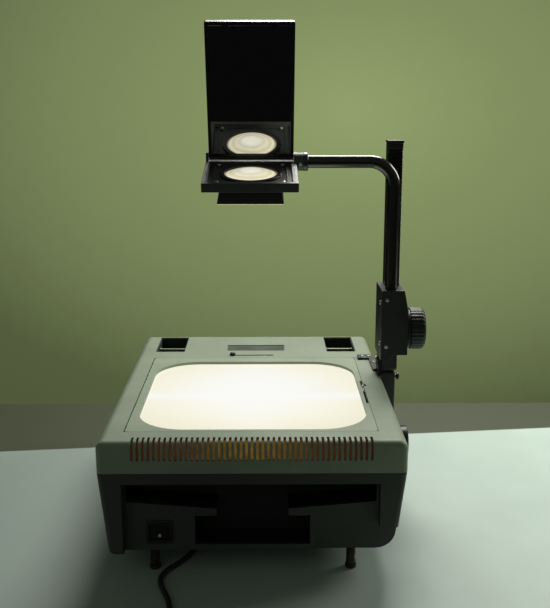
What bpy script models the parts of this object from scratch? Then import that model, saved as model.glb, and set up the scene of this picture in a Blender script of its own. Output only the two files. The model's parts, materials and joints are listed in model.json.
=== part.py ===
"""Overhead projector: casing, hinged stage, lamp works, folding rack post, focus carriage and tilting mirror head."""

import math

import bmesh
import bpy
from mathutils import Matrix, Vector

# All places are measured from the middle of the stage opening: +X right, +Y to the rear, heights above the table.

# Gaps and cutters
SEAT_GAP = 0.0003
RUN_GAP = 0.0004
OVERRUN = 0.010
WELD = 0.00001
ROUND_STEPS = 32
FINE_STEPS = 40

# Casing
CASE_WIDTH = 0.364
CASE_FRONT = 0.183
CASE_REAR = 0.294
DECK_HEIGHT = 0.174
PARTING_HEIGHT = 0.134
CASE_BOTTOM = 0.030
CASE_TAPER = 0.010
DECK_CORNER = 0.011
END_ROUND = 0.007
LEFT_CORNER = 0.009
RIGHT_CORNER = 0.024
DECK_WALL = 0.004
BASE_WALL = 0.003

# Front of the base: a recess between two cheeks, with the fascia at its back
RECESS_LEFT = 0.1535
RECESS_RIGHT = 0.1505
RECESS_TOP = 0.121
FASCIA_SETBACK = 0.016
RIGHT_CHEEK_BOTTOM = 0.065
LEDGE_START = 0.0755
LEDGE_HEIGHT = 0.064
LEDGE_DEPTH = 0.003
WIDE_SLOT_SAG = 0.083
WIDE_SLOT_END = 0.092
HAND_HALF = 0.069
HAND_BOTTOM = 0.037
HAND_TOP = 0.074
NECK_HALF = 0.043
LINER_DEPTH = 0.041
LINER_WALL = 0.002
LINER_MARGIN = 0.0025

# Air grille over the front edge of the deck
GRILLE_SLOTS = 45
GRILLE_HALF = 0.1395
GRILLE_SLOT = 0.003
GRILLE_TOP_RUN = 0.015
GRILLE_DROP = 0.0235

# Stage lid, glass and Fresnel lens
OPENING_HALF = 0.1425
OPENING_CORNER = 0.060
LID_LEFT = 0.152
LID_RIGHT = 0.150
LID_FRONT = 0.149
LID_REAR = 0.163
LID_GAP = 0.0005
LID_HINGE_GAP = 0.0015
GLASS_HALF = 0.1462
GLASS_THICK = 0.0037
FRESNEL_HALF = 0.1445
FRESNEL_THICK = 0.0025
LID_PIN_INSET = 0.002
LID_PIN_RADIUS = 0.001
LID_PIN_LENGTH = 0.010
NOTCH_FRONT = 0.048
NOTCH_REAR = 0.046
NOTCH_DEPTH = 0.0032
LATCH_Y = 0.028
LATCH_WIDTH = 0.008
LATCH_TAB = 0.002
LATCH_BODY = 0.010
LATCH_DEPTH = 0.007
LATCH_TRAVEL = 0.003

# Rear of the deck
POCKET_INNER = 0.1105
POCKET_OUTER = 0.1560
POCKET_FRONT = 0.198
POCKET_REAR = 0.284
POCKET_DEPTH = 0.022
LABEL_HALF = 0.045
LABEL_FRONT = 0.204
LABEL_REAR = 0.237
LABEL_DEPTH = 0.0015
ROD_RADIUS = 0.003
ROD_Y = 0.248
LEVER_Y = 0.178
LEVER_START = -0.035
LEVER_TRAVEL = 0.060
LEVER_STEM = 0.002
LEVER_CAP = 0.005
LEVER_CAP_HEIGHT = 0.005

# Light box, lamp tunnel and optics under the stage
LIGHT_BOX_TOP = 0.146
LIGHT_BOX_BOTTOM = 0.060
LIGHT_BOX_WALL = 0.002
TUNNEL_HALF = 0.062
TUNNEL_LENGTH = 0.190
TUNNEL_TOP = 0.0957
TUNNEL_WALL = 0.0015
CONDENSER_RADIUS = 0.046
CONDENSER_EDGE = 0.004
CONDENSER_RISE = 0.010
LIGHT_HOLE = 0.042
HEAT_GLASS_HALF = 0.046
HEAT_GLASS_THICK = 0.003
TRACK_HALF = 0.020
TRACK_LENGTH = 0.180
TRACK_HEIGHT = 0.007
LAMP_PITCH = 0.054
LAMP_RADIUS = 0.025
LAMP_HEIGHT = 0.042
LAMP_BASE = 0.009
TRAY_HALF = 0.028
TRAY_THICK = 0.003

# Lamp changer: a knob on the right wall turns a pinion on the tray's rack
GEAR_MODULE = 0.001
GEAR_PRESSURE = math.radians(25)
GEAR_BACKLASH = 0.00012
CHANGER_TEETH = 26
CHANGER_Y = -0.107
CHANGER_HEIGHT = 0.144
CHANGER_RACK_X = 0.142
CHANGER_RACK_WIDTH = 0.010
CHANGER_RACK_BACK = 0.005
CHANGER_SHAFT = 0.0035
CHANGER_KNOB_RADIUS = 0.020
CHANGER_KNOB_DEPTH = 0.0085
ARM_WIDTH = 0.016
ARM_THICK = 0.003
ARM_OUTER = 0.150

# Fan and terminal block
FAN_SIZE = 0.092
FAN_DEPTH = 0.025
FAN_X = 0.030
FAN_BORE = 0.0415
FAN_HUB = 0.016
FAN_BLADE_TIP = 0.0400
FAN_BLADES = 7
BLADE_THICK = 0.0016
BLADE_PITCH = math.radians(38)
VENT_SLOTS = 13
VENT_SLOT = 0.0035
TERMINAL_SIZE = (0.050, 0.040, 0.022)
TERMINAL_X = -0.125
TERMINAL_Y = 0.220

# Switch
SWITCH_LEFT = -0.127
SWITCH_RIGHT = -0.096
SWITCH_BOTTOM = 0.0395
SWITCH_TOP = 0.0685
SWITCH_DEPTH = 0.016
SWITCH_FLANGE = 0.0022
SWITCH_FRAME = 0.0035
ROCKER_TILT = math.radians(10)

# Legs and feet
LEG_X = 0.1195
LEG_Y = -0.155
LEG_RADIUS = 0.006
STUD_RADIUS = 0.003
STUD_TOP = 0.040
TIP_HEIGHT = 0.006
TIP_RADIUS = 0.0068
BOSS_RADIUS = 0.0055
BOSS_TOP = 0.041
FOOT_Y = 0.250
FOOT_RADIUS = 0.0085

# Post bracket on the right side
BRACKET_FRONT = 0.076
BRACKET_REAR = 0.104
BRACKET_BOTTOM = 0.095
BRACKET_TOP = 0.1775
EAR_INNER = 0.1765
EAR_TOP = 0.201
STRAP_THICK = 0.003
STRAP_LEFT = 0.155
STRAP_REAR = 0.170
STRAP_WIDTH = 0.018
STRAP_EDGE = 0.171
STRAP_RIGHT = 0.1805
BUTTON_Y = 0.087
BUTTON_Z = 0.1685
BUTTON_RADIUS = 0.0053
BUTTON_HEAD = 0.0035
BUTTON_TRAVEL = 0.003

# Rack post
POST_WIDTH = 0.020
POST_FRONT = 0.073
POST_REAR = 0.098
POST_BOTTOM = 0.180
POST_TOP = 0.5000
PIVOT_Y = 0.092
PIVOT_Z = 0.191
PIVOT_RADIUS = 0.004
PIVOT_HEAD = 0.006
PIVOT_HEAD_THICK = 0.003
RACK_BOTTOM = 0.206
RACK_TEETH = 90
POST_CAP_HEIGHT = 0.004
POST_CAP_LIP = 0.001

# Focus carriage
CARRIAGE_LEFT = 0.174
CARRIAGE_RIGHT = 0.211
CARRIAGE_STEP = 0.190
CARRIAGE_FRONT = 0.036
CARRIAGE_REAR = 0.102
CARRIAGE_BOTTOM = 0.207
CARRIAGE_BLOCK_BOTTOM = 0.214
CARRIAGE_BLOCK_TOP = 0.276
CARRIAGE_TOP = 0.305
CARRIAGE_SHOULDER = 0.205
FOCUS_TEETH = 14
FOCUS_Z = 0.245
FOCUS_GEAR_X = 0.186
FOCUS_GEAR_WIDTH = 0.012
FOCUS_SHAFT = 0.003
FOCUS_KNOB_RADIUS = 0.0292
FOCUS_KNOB_DEPTH = 0.026
FOCUS_KNOB_RIBS = 24

# Arm tube
TUBE_RADIUS = 0.0085
TUBE_X = 0.188
TUBE_Y = 0.0475
TUBE_Z = 0.478
TUBE_FOOT = 0.215
TUBE_BEND = 0.034
BEND_POINTS = 10
COLLAR_RADIUS = 0.0122
COLLAR_WIDTH = 0.006

# Head, in its own frame: origin on the tube's axis, turned by its tilt
HEAD_X = -0.0028
HEAD_TILT = math.radians(11)
HEAD_HALF = 0.060
HEAD_FRONT = -0.1045
HEAD_REAR = 0.010
HEAD_TOP = 0.001
HEAD_BOTTOM = -0.011
HEAD_RIM = 0.007
HEAD_DISH = 0.005
HEAD_BARREL = 0.012
HEAD_BARREL_LENGTH = 0.009
LENS_Y = -0.0483
LENS_RADIUS = 0.035
LENS_EDGE = 0.0037
LENS_RISE = 0.0073
RING_INNER = 0.0342
RING_OUTER = 0.040
RING_HEIGHT = 0.0022
HOOD_TOP_HALF = 0.0385
HOOD_BOTTOM_HALF = 0.042
HOOD_HEIGHT = 0.019
HOOD_WALL = 0.002
HOOD_HOLE = 0.033
LOWER_LENS_EDGE = 0.0035
LOWER_LENS_DROP = 0.0045

# Mirror lid, in its own frame: origin on its hinge
MIRROR_LEAN = math.radians(8)
HINGE_Y = 0.004
HINGE_Z = 0.008
HINGE_EAR = 0.0035
HINGE_PIN = 0.0015
KNUCKLE = 0.004
LID_HALF = 0.056
LID_TOP = 0.1755
LID_FACE = -0.0035
LID_BACK = 0.004
MIRROR_HALF = 0.052
MIRROR_FOOT = 0.003
MIRROR_HEAD = 0.1705
MIRROR_THICK = 0.003

# Power cord: exit at the rear wall, back under the casing, round the front left leg, then a stored coil
CORD_RADIUS = 0.00325
CORD_BEVEL = 2
CORD_X = -0.060
CORD_Z = 0.052
GLAND_LENGTH = 0.030
GLAND_RADIUS = 0.0075
GLAND_FLANGE = 0.011
COIL_X = -0.058
COIL_Y = -0.341
COIL_MEAN = 0.036
COIL_HALF = 0.010
COIL_ROUND = 0.006
PLUG_X = -0.0315
PLUG_Y = -0.3836
PLUG_LENGTH = 0.038
PLUG_HALF_WIDTH = 0.0125
PLUG_HALF_HEIGHT = 0.009
PLUG_TAIL = 0.012
PLUG_TAIL_RADIUS = 0.0045
PRONG_LENGTH = 0.017
PRONG_GAP = 0.0063
PRONG_HALF = 0.0031
PRONG_THICK = 0.0015

# Worked out from the sizes above
HALF_WIDTH = CASE_WIDTH / 2
FASCIA_Y = -CASE_FRONT + FASCIA_SETBACK
FLOOR_TOP = CASE_BOTTOM + BASE_WALL
DECK_UNDER = DECK_HEIGHT - DECK_WALL
GLASS_TOP = DECK_UNDER - SEAT_GAP
GLASS_UNDER = GLASS_TOP - GLASS_THICK
FRESNEL_UNDER = GLASS_UNDER - SEAT_GAP - FRESNEL_THICK
FUNNEL_TOP = FRESNEL_UNDER - LIGHT_BOX_WALL
FUNNEL_FLOOR = TUNNEL_TOP + SEAT_GAP
FAN_LOW = FLOOR_TOP + END_ROUND - BASE_WALL + SEAT_GAP
POST_X = HALF_WIDTH + SEAT_GAP
POST_RIGHT = POST_X + POST_WIDTH
FOCUS_PITCH = GEAR_MODULE * FOCUS_TEETH / 2
FOCUS_Y = POST_FRONT + GEAR_MODULE - FOCUS_PITCH
CHANGER_PITCH = GEAR_MODULE * CHANGER_TEETH / 2
TRAY_BOTTOM = FLOOR_TOP + SEAT_GAP + TRACK_HEIGHT + SEAT_GAP
KNOB_LEFT = CARRIAGE_RIGHT + 2 * SEAT_GAP
KNOB_RIGHT = KNOB_LEFT + FOCUS_KNOB_DEPTH
RIGHTMOST = KNOB_RIGHT
ORIGIN_X = -(RIGHTMOST - HALF_WIDTH) / 2
ORIGIN_Y = -(CASE_REAR - CASE_FRONT) / 2

# Colours: base colour, roughness, metallic
CASE_GREY = ("case_grey", (0.30, 0.32, 0.29), 0.6, 0.0)
BLACK_PLASTIC = ("black_plastic", (0.02, 0.02, 0.022), 0.45, 0.0)
BLACK_METAL = ("black_metal", (0.025, 0.025, 0.027), 0.35, 0.6)
STEEL = ("bright_steel", (0.62, 0.62, 0.60), 0.3, 1.0)
SHEET_METAL = ("sheet_metal", (0.55, 0.56, 0.55), 0.45, 0.9)
CLEAR_GLASS = ("clear_glass", (0.92, 0.92, 0.86), 0.05, 0.0)
MIRROR_GLASS = ("mirror_glass", (0.9, 0.9, 0.9), 0.02, 1.0)
RUBBER = ("rubber", (0.03, 0.03, 0.03), 0.85, 0.0)
BRASS = ("brass", (0.66, 0.52, 0.26), 0.35, 1.0)


def clear_scene():
    """Removes whatever the file held before."""
    for thing in list(bpy.data.objects):
        bpy.data.objects.remove(thing, do_unlink=True)


def collection_named(name):
    """A collection linked to the scene."""
    group = bpy.data.collections.new(name)
    bpy.context.scene.collection.children.link(group)
    return group


clear_scene()
PARTS = collection_named("overhead_projector")


def material_for(piece, finish):
    """Gives a piece its own Principled material."""
    label, colour, roughness, metallic = finish
    material = bpy.data.materials.new(piece.name + "_" + label)
    material.use_nodes = True
    shader = material.node_tree.nodes["Principled BSDF"]
    shader.inputs["Base Color"].default_value = (*colour, 1)
    shader.inputs["Roughness"].default_value = roughness
    shader.inputs["Metallic"].default_value = metallic
    piece.data.materials.clear()
    piece.data.materials.append(material)


def new_piece(name, mesh):
    """Links a mesh as a named piece."""
    piece = bpy.data.objects.new(name, mesh)
    PARTS.objects.link(piece)
    return piece


def settle(piece):
    """Replaces a piece's mesh by the one its modifiers make."""
    bpy.context.view_layer.update()
    depsgraph = bpy.context.evaluated_depsgraph_get()
    mesh = bpy.data.meshes.new_from_object(piece.evaluated_get(depsgraph))
    piece.modifiers.clear()
    piece.data = mesh
    return piece


def cut(piece, *cutters):
    """Takes each cutter's shape out of a piece."""
    return combine(piece, cutters, "DIFFERENCE")


def join(piece, *others):
    """Fuses other shapes to a piece."""
    return combine(piece, others, "UNION")


def combine(piece, others, operation):
    """Runs one exact Boolean after another and removes the shapes that were used."""
    for other in others:
        modifier = piece.modifiers.new(operation.lower(), "BOOLEAN")
        modifier.object = other
        modifier.operation = operation
        modifier.solver = "EXACT"
        settle(piece)
        bpy.data.objects.remove(other, do_unlink=True)
    return piece


def block(name, low, high, rounding=0.0, steps=2):
    """A box between two corners, its edges rounded if asked."""
    shape = bmesh.new()
    bmesh.ops.create_cube(shape, size=1)
    span = Vector(high) - Vector(low)
    bmesh.ops.scale(shape, vec=span, verts=shape.verts)
    bmesh.ops.translate(shape, vec=(Vector(high) + Vector(low)) / 2, verts=shape.verts)
    if rounding:
        bmesh.ops.bevel(shape, geom=shape.edges, offset=rounding, segments=steps, profile=0.5, affect="EDGES")
    return piece_from(name, shape)


def piece_from(name, shape):
    """Writes a bmesh to a new named piece."""
    mesh = bpy.data.meshes.new(name)
    shape.to_mesh(mesh)
    shape.free()
    return new_piece(name, mesh)


def turn_to(axis):
    """The turn that lays a shape's own Z along an axis of the projector, its X and Y along the next two."""
    columns = {
        "X": ((0, 1, 0), (0, 0, 1), (1, 0, 0)),
        "Y": ((1, 0, 0), (0, 0, 1), (0, -1, 0)),
        "Z": ((1, 0, 0), (0, 1, 0), (0, 0, 1)),
    }[axis]
    return Matrix(columns).transposed().to_4x4()


def rod(name, start, end, radius, steps=ROUND_STEPS):
    """A round bar between two points."""
    shape = bmesh.new()
    run = Vector(end) - Vector(start)
    bmesh.ops.create_cone(
        shape, cap_ends=True, segments=steps, radius1=radius, radius2=radius, depth=run.length
    )
    turn = run.to_track_quat("Z", "Y").to_matrix().to_4x4()
    bmesh.ops.transform(shape, matrix=turn, verts=shape.verts)
    bmesh.ops.translate(shape, vec=(Vector(start) + Vector(end)) / 2, verts=shape.verts)
    return piece_from(name, shape)


def turned(name, profile, centre, axis="Z", steps=ROUND_STEPS, closed=False):
    """A profile of (radius, height) points turned round an axis by a Screw modifier."""
    mesh = bpy.data.meshes.new(name)
    points = [(radius, 0, height) for radius, height in profile]
    edges = [(i, i + 1) for i in range(len(points) - 1)]
    if closed:
        edges.append((len(points) - 1, 0))
    mesh.from_pydata(points, edges, [])
    piece = new_piece(name, mesh)
    screw = piece.modifiers.new("turn", "SCREW")
    screw.steps = steps
    screw.render_steps = steps
    screw.use_merge_vertices = True
    screw.merge_threshold = WELD
    settle(piece)
    weld(piece)
    direction = {"X": Vector((1, 0, 0)), "Y": Vector((0, 1, 0)), "Z": Vector((0, 0, 1))}[axis]
    piece.data.transform(direction.to_track_quat("Z", "Y").to_matrix().to_4x4())
    piece.data.transform(Matrix.Translation(centre))
    return piece


def weld(piece, tidy=False):
    """Closes a mesh: doubles merged, faces pointing out, flat faces joined if asked."""
    shape = bmesh.new()
    shape.from_mesh(piece.data)
    bmesh.ops.remove_doubles(shape, verts=shape.verts, dist=WELD)
    if tidy:
        bmesh.ops.dissolve_limit(
            shape, angle_limit=math.radians(0.05), verts=shape.verts, edges=shape.edges
        )
    bmesh.ops.recalc_face_normals(shape, faces=shape.faces)
    shape.to_mesh(piece.data)
    shape.free()
    return piece


def plate(name, outlines, axis, low, high):
    """A flat outline, with any holes, given thickness along an axis as a filled 2D curve."""
    curve = bpy.data.curves.new(name, "CURVE")
    curve.dimensions = "2D"
    curve.fill_mode = "BOTH"
    curve.extrude = (high - low) / 2
    for outline in outlines:
        spline = curve.splines.new("POLY")
        spline.points.add(len(outline) - 1)
        for point, (across, along) in zip(spline.points, outline):
            point.co = (across, along, 0, 1)
        spline.use_cyclic_u = True
    guide = bpy.data.objects.new(name + "_outline", curve)
    PARTS.objects.link(guide)
    bpy.context.view_layer.update()
    depsgraph = bpy.context.evaluated_depsgraph_get()
    mesh = bpy.data.meshes.new_from_object(guide.evaluated_get(depsgraph))
    bpy.data.objects.remove(guide, do_unlink=True)
    middle = Vector([(low + high) / 2 if axis == letter else 0 for letter in "XYZ"])
    mesh.transform(Matrix.Translation(middle) @ turn_to(axis))
    return weld(new_piece(name, mesh), tidy=True)


def shell(piece, open_side, wall):
    """Hollows a solid: takes off the faces that open_side picks, then thickens the rest inwards."""
    shape = bmesh.new()
    shape.from_mesh(piece.data)
    bmesh.ops.remove_doubles(shape, verts=shape.verts, dist=WELD)
    gone = [face for face in shape.faces if open_side(face)]
    bmesh.ops.delete(shape, geom=gone, context="FACES")
    shape.to_mesh(piece.data)
    shape.free()
    thicken = piece.modifiers.new("wall", "SOLIDIFY")
    thicken.thickness = wall
    thicken.offset = -1
    thicken.use_even_offset = True
    thicken.use_quality_normals = True
    return settle(piece)


def round_edges(piece, picks, radius, steps=3):
    """Rounds the edges that picks chooses."""
    shape = bmesh.new()
    shape.from_mesh(piece.data)
    edges = [edge for edge in shape.edges if picks(edge)]
    bmesh.ops.bevel(shape, geom=edges, offset=radius, segments=steps, profile=0.5, affect="EDGES", clamp_overlap=True)
    shape.to_mesh(piece.data)
    shape.free()
    return piece


def arc(centre, radius, start, end, steps):
    """Points along an arc, angles in degrees."""
    turns = [math.radians(start + (end - start) * step / steps) for step in range(steps + 1)]
    return [(centre[0] + radius * math.cos(turn), centre[1] + radius * math.sin(turn)) for turn in turns]


def rounded_rectangle(left, bottom, right, top, radius, steps=5):
    """A rectangle's outline with round corners."""
    return (
        arc((right - radius, top - radius), radius, 0, 90, steps)
        + arc((left + radius, top - radius), radius, 90, 180, steps)
        + arc((left + radius, bottom + radius), radius, 180, 270, steps)
        + arc((right - radius, bottom + radius), radius, 270, 360, steps)
    )


def faces_along(axis, value, tolerance=0.0002):
    """Picks the flat faces that lie at a value of an axis."""
    number = "XYZ".index(axis)
    return lambda face: all(abs(vert.co[number] - value) < tolerance for vert in face.verts)


def edges_at(axis, *values, tolerance=0.0002):
    """Picks the edges that lie in one of the planes at these values of an axis."""
    number = "XYZ".index(axis)
    return lambda edge: any(
        all(abs(vert.co[number] - value) < tolerance for vert in edge.verts) for value in values
    )


def end_edges(open_height):
    """Picks the edges round the casing's front and rear, without those on its open side."""
    at_ends = edges_at("Y", -CASE_FRONT, CASE_REAR)
    at_opening = edges_at("Z", open_height)
    return lambda edge: at_ends(edge) and not at_opening(edge)


def involute(angle):
    """The involute function."""
    return math.tan(angle) - angle


def gear_outline(teeth, first_tooth):
    """A spur gear's outline round zero, with a tooth centred on the angle first_tooth."""
    pitch = GEAR_MODULE * teeth / 2
    base = pitch * math.cos(GEAR_PRESSURE)
    root = pitch - 1.25 * GEAR_MODULE
    tip = pitch + GEAR_MODULE
    half_tooth = math.pi / (2 * teeth) - GEAR_BACKLASH / pitch + involute(GEAR_PRESSURE)
    start = max(base, root)
    radii = [start + (tip - start) * share for share in (0, 0.5, 1)]
    flank = [(radius, half_tooth - involute(math.acos(min(1, base / radius)))) for radius in radii]
    side = [(root, flank[0][1])] * (root < base) + flank
    outline = []
    for tooth in range(teeth):
        middle = first_tooth + 2 * math.pi * tooth / teeth
        both = [(radius, middle - turn) for radius, turn in side]
        both += [(radius, middle + turn) for radius, turn in reversed(side)]
        outline += [(radius * math.cos(turn), radius * math.sin(turn)) for radius, turn in both]
    return outline


def rack_teeth(first_gap, count):
    """Offsets along a straight rack and heights above its pitch line, from a gap's centre onwards."""
    pitch = math.pi * GEAR_MODULE
    slope = math.tan(GEAR_PRESSURE)
    points = []
    for tooth in range(count):
        middle = first_gap + pitch * (tooth + 0.5)
        half_root = pitch / 4 - GEAR_BACKLASH + 1.25 * GEAR_MODULE * slope
        half_tip = pitch / 4 - GEAR_BACKLASH - GEAR_MODULE * slope
        points += [
            (middle - half_root, -1.25 * GEAR_MODULE),
            (middle - half_tip, GEAR_MODULE),
            (middle + half_tip, GEAR_MODULE),
            (middle + half_root, -1.25 * GEAR_MODULE),
        ]
    return points


class Frames:
    """Empties that stand for the moving bodies, each on its joint's axis."""

    def __init__(self):
        self.empties = {}
        self.places = {}
        self.add("projector", (0, 0, 0), None)
        self.empties["projector"].location = (ORIGIN_X, ORIGIN_Y, 0)

    def add(self, name, place, parent="projector", tilt=0.0, own_frame=False):
        """Adds a body; with own_frame its pieces are modelled round its own origin."""
        empty = bpy.data.objects.new("axis_" + name, None)
        PARTS.objects.link(empty)
        self.places[name] = Vector((0, 0, 0)) if own_frame else Vector(place)
        if parent:
            empty.parent = self.empties[parent]
            empty.location = Vector(place) - self.places[parent]
        empty.rotation_euler.x = tilt
        self.empties[name] = empty

    def carry(self, body, finish, *pieces):
        """Hangs finished pieces on a body."""
        for piece in pieces:
            material_for(piece, finish)
            piece.data.shade_smooth()
            piece.data.set_sharp_from_angle(angle=math.radians(32))
            piece.parent = self.empties[body]
            piece.location = -self.places[body]


FRAMES = Frames()
FRAMES.add("stage", (-LID_LEFT + LID_PIN_INSET, 0, DECK_HEIGHT - LID_PIN_INSET))
FRAMES.add("latch", (LID_RIGHT, LATCH_Y, DECK_UNDER))
FRAMES.add("lever", (LEVER_START, LEVER_Y, DECK_HEIGHT))
FRAMES.add("lamp_tray", (0, 0, TRAY_BOTTOM))
FRAMES.add("changer", (0, CHANGER_Y, CHANGER_HEIGHT))
FRAMES.add("impeller", (FAN_X, CASE_REAR - BASE_WALL, FAN_LOW + FAN_SIZE / 2))
SWITCH_X = (SWITCH_LEFT + SWITCH_RIGHT) / 2
SWITCH_Z = (SWITCH_BOTTOM + SWITCH_TOP) / 2
ROCKER_Y = FASCIA_Y + 0.5 * SWITCH_FRAME
FRAMES.add("rocker", (SWITCH_X, ROCKER_Y, SWITCH_Z))
FRAMES.add("leg_left", (-LEG_X, LEG_Y, 0))
FRAMES.add("leg_right", (LEG_X, LEG_Y, 0))
FRAMES.add("post", (POST_X, PIVOT_Y, PIVOT_Z))
FRAMES.add("lock", (POST_RIGHT, BUTTON_Y, BUTTON_Z))
FRAMES.add("carriage", (TUBE_X, TUBE_Y, FOCUS_Z), "post")
FRAMES.add("focus", (POST_X, FOCUS_Y, FOCUS_Z), "carriage")
FRAMES.add("head", (HEAD_X, TUBE_Y, TUBE_Z), "carriage", HEAD_TILT, own_frame=True)
FRAMES.add("mirror", (0, HINGE_Y, HINGE_Z), "head", MIRROR_LEAN, own_frame=True)


def base_housing():
    """The lower casing: a tray with cheeks, a set-back fascia, the wide slot and the hand-hole."""
    foot = HALF_WIDTH - CASE_TAPER
    outline = [(HALF_WIDTH, PARTING_HEIGHT), (-HALF_WIDTH, PARTING_HEIGHT)]
    outline += arc((-foot + LEFT_CORNER, CASE_BOTTOM + LEFT_CORNER), LEFT_CORNER, 180, 270, 4)
    outline += arc((foot - RIGHT_CORNER, CASE_BOTTOM + RIGHT_CORNER), RIGHT_CORNER, 270, 360, 6)
    housing = plate("base_housing", [outline], "Y", -CASE_FRONT, CASE_REAR)
    round_edges(housing, end_edges(PARTING_HEIGHT), END_ROUND)
    recess = block(
        "recess",
        (-RECESS_LEFT, -CASE_FRONT - OVERRUN, CASE_BOTTOM - OVERRUN),
        (RECESS_RIGHT, FASCIA_Y, RECESS_TOP),
    )
    corner = block(
        "corner",
        (RECESS_RIGHT - OVERRUN, -CASE_FRONT - OVERRUN, CASE_BOTTOM - OVERRUN),
        (HALF_WIDTH + OVERRUN, FASCIA_Y, RIGHT_CHEEK_BOTTOM),
    )
    ledge_outline = [
        (FASCIA_Y - OVERRUN, LEDGE_HEIGHT),
        (FASCIA_Y, LEDGE_HEIGHT),
        (FASCIA_Y + LEDGE_DEPTH, CASE_BOTTOM),
        (FASCIA_Y + LEDGE_DEPTH, CASE_BOTTOM - OVERRUN),
        (FASCIA_Y - OVERRUN, CASE_BOTTOM - OVERRUN),
    ]
    ledge = plate("ledge", [ledge_outline], "X", LEDGE_START, HALF_WIDTH + OVERRUN)
    cut(housing, recess, corner, ledge)
    weld(housing, tidy=True)
    shell(housing, faces_along("Z", PARTING_HEIGHT), BASE_WALL)
    cut(housing, fascia_opening("fascia_opening", 0, FASCIA_Y - OVERRUN, FASCIA_Y + BASE_WALL + OVERRUN / 2))
    switch_hole = block(
        "switch_hole",
        (SWITCH_LEFT + SWITCH_FLANGE, FASCIA_Y - OVERRUN, SWITCH_BOTTOM + SWITCH_FLANGE),
        (SWITCH_RIGHT - SWITCH_FLANGE, FASCIA_Y + OVERRUN, SWITCH_TOP - SWITCH_FLANGE),
    )
    cut(housing, switch_hole)
    for side in (-1, 1):
        cut(housing, rod("stud_hole", (side * LEG_X, LEG_Y, 0), (side * LEG_X, LEG_Y, FLOOR_TOP + OVERRUN / 2),
                         STUD_RADIUS + RUN_GAP, 16))
    cord_hole = rod("cord_hole", (CORD_X, CASE_REAR - OVERRUN, CORD_Z), (CORD_X, CASE_REAR + OVERRUN, CORD_Z),
                    GLAND_RADIUS + SEAT_GAP, 24)
    cut(housing, cord_hole)
    vent = block(
        "vent",
        (-VENT_SLOT / 2, CASE_REAR - OVERRUN, FAN_LOW + OVERRUN),
        (VENT_SLOT / 2, CASE_REAR + OVERRUN, FAN_LOW + FAN_SIZE - OVERRUN),
    )
    pitch = 2 * FAN_BORE / VENT_SLOTS
    places = [FAN_X + (slot - (VENT_SLOTS - 1) / 2) * pitch for slot in range(VENT_SLOTS)]
    cut(housing, repeated_from_zero(vent, [(place, 0, 0) for place in places]))
    FRAMES.carry("projector", CASE_GREY, housing)


def repeated_from_zero(piece, offsets):
    """Copies of a piece at the offsets only, without the first one at zero."""
    shape = bmesh.new()
    for offset in offsets:
        before = len(shape.verts)
        shape.from_mesh(piece.data)
        shape.verts.ensure_lookup_table()
        bmesh.ops.translate(shape, vec=offset, verts=shape.verts[before:])
    shape.to_mesh(piece.data)
    shape.free()
    return piece


def fascia_opening(name, margin, front, rear):
    """The opening in the fascia: a wide slot with a sagging lower edge, a neck and the hand-hole below it."""
    left = -RECESS_LEFT + BASE_WALL - margin
    right = RECESS_RIGHT - BASE_WALL + margin
    top = RECESS_TOP + margin
    hand = HAND_HALF + margin
    neck = NECK_HALF + margin
    sag = WIDE_SLOT_SAG - margin
    end = WIDE_SLOT_END - margin
    hand_top = HAND_TOP + margin
    hand_bottom = HAND_BOTTOM - margin
    rise = (sag + end) / 2
    outline = [
        (left, top), (left, end), ((left - neck) / 2, rise), (-neck, sag), (-neck, hand_top), (-hand, hand_top),
        (-hand, hand_bottom), (hand, hand_bottom), (hand, hand_top), (neck, hand_top), (neck, sag),
        ((right + neck) / 2, rise), (right, end), (right, top),
    ]
    return plate(name, [outline], "Y", front, rear)


def recess_liner():
    """The black box behind the fascia's opening."""
    front = FASCIA_Y + BASE_WALL + SEAT_GAP
    liner = fascia_opening("recess_liner", LINER_MARGIN, front, front + LINER_DEPTH)
    shell(liner, faces_along("Y", front), LINER_WALL)
    FRAMES.carry("projector", BLACK_PLASTIC, liner)


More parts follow.
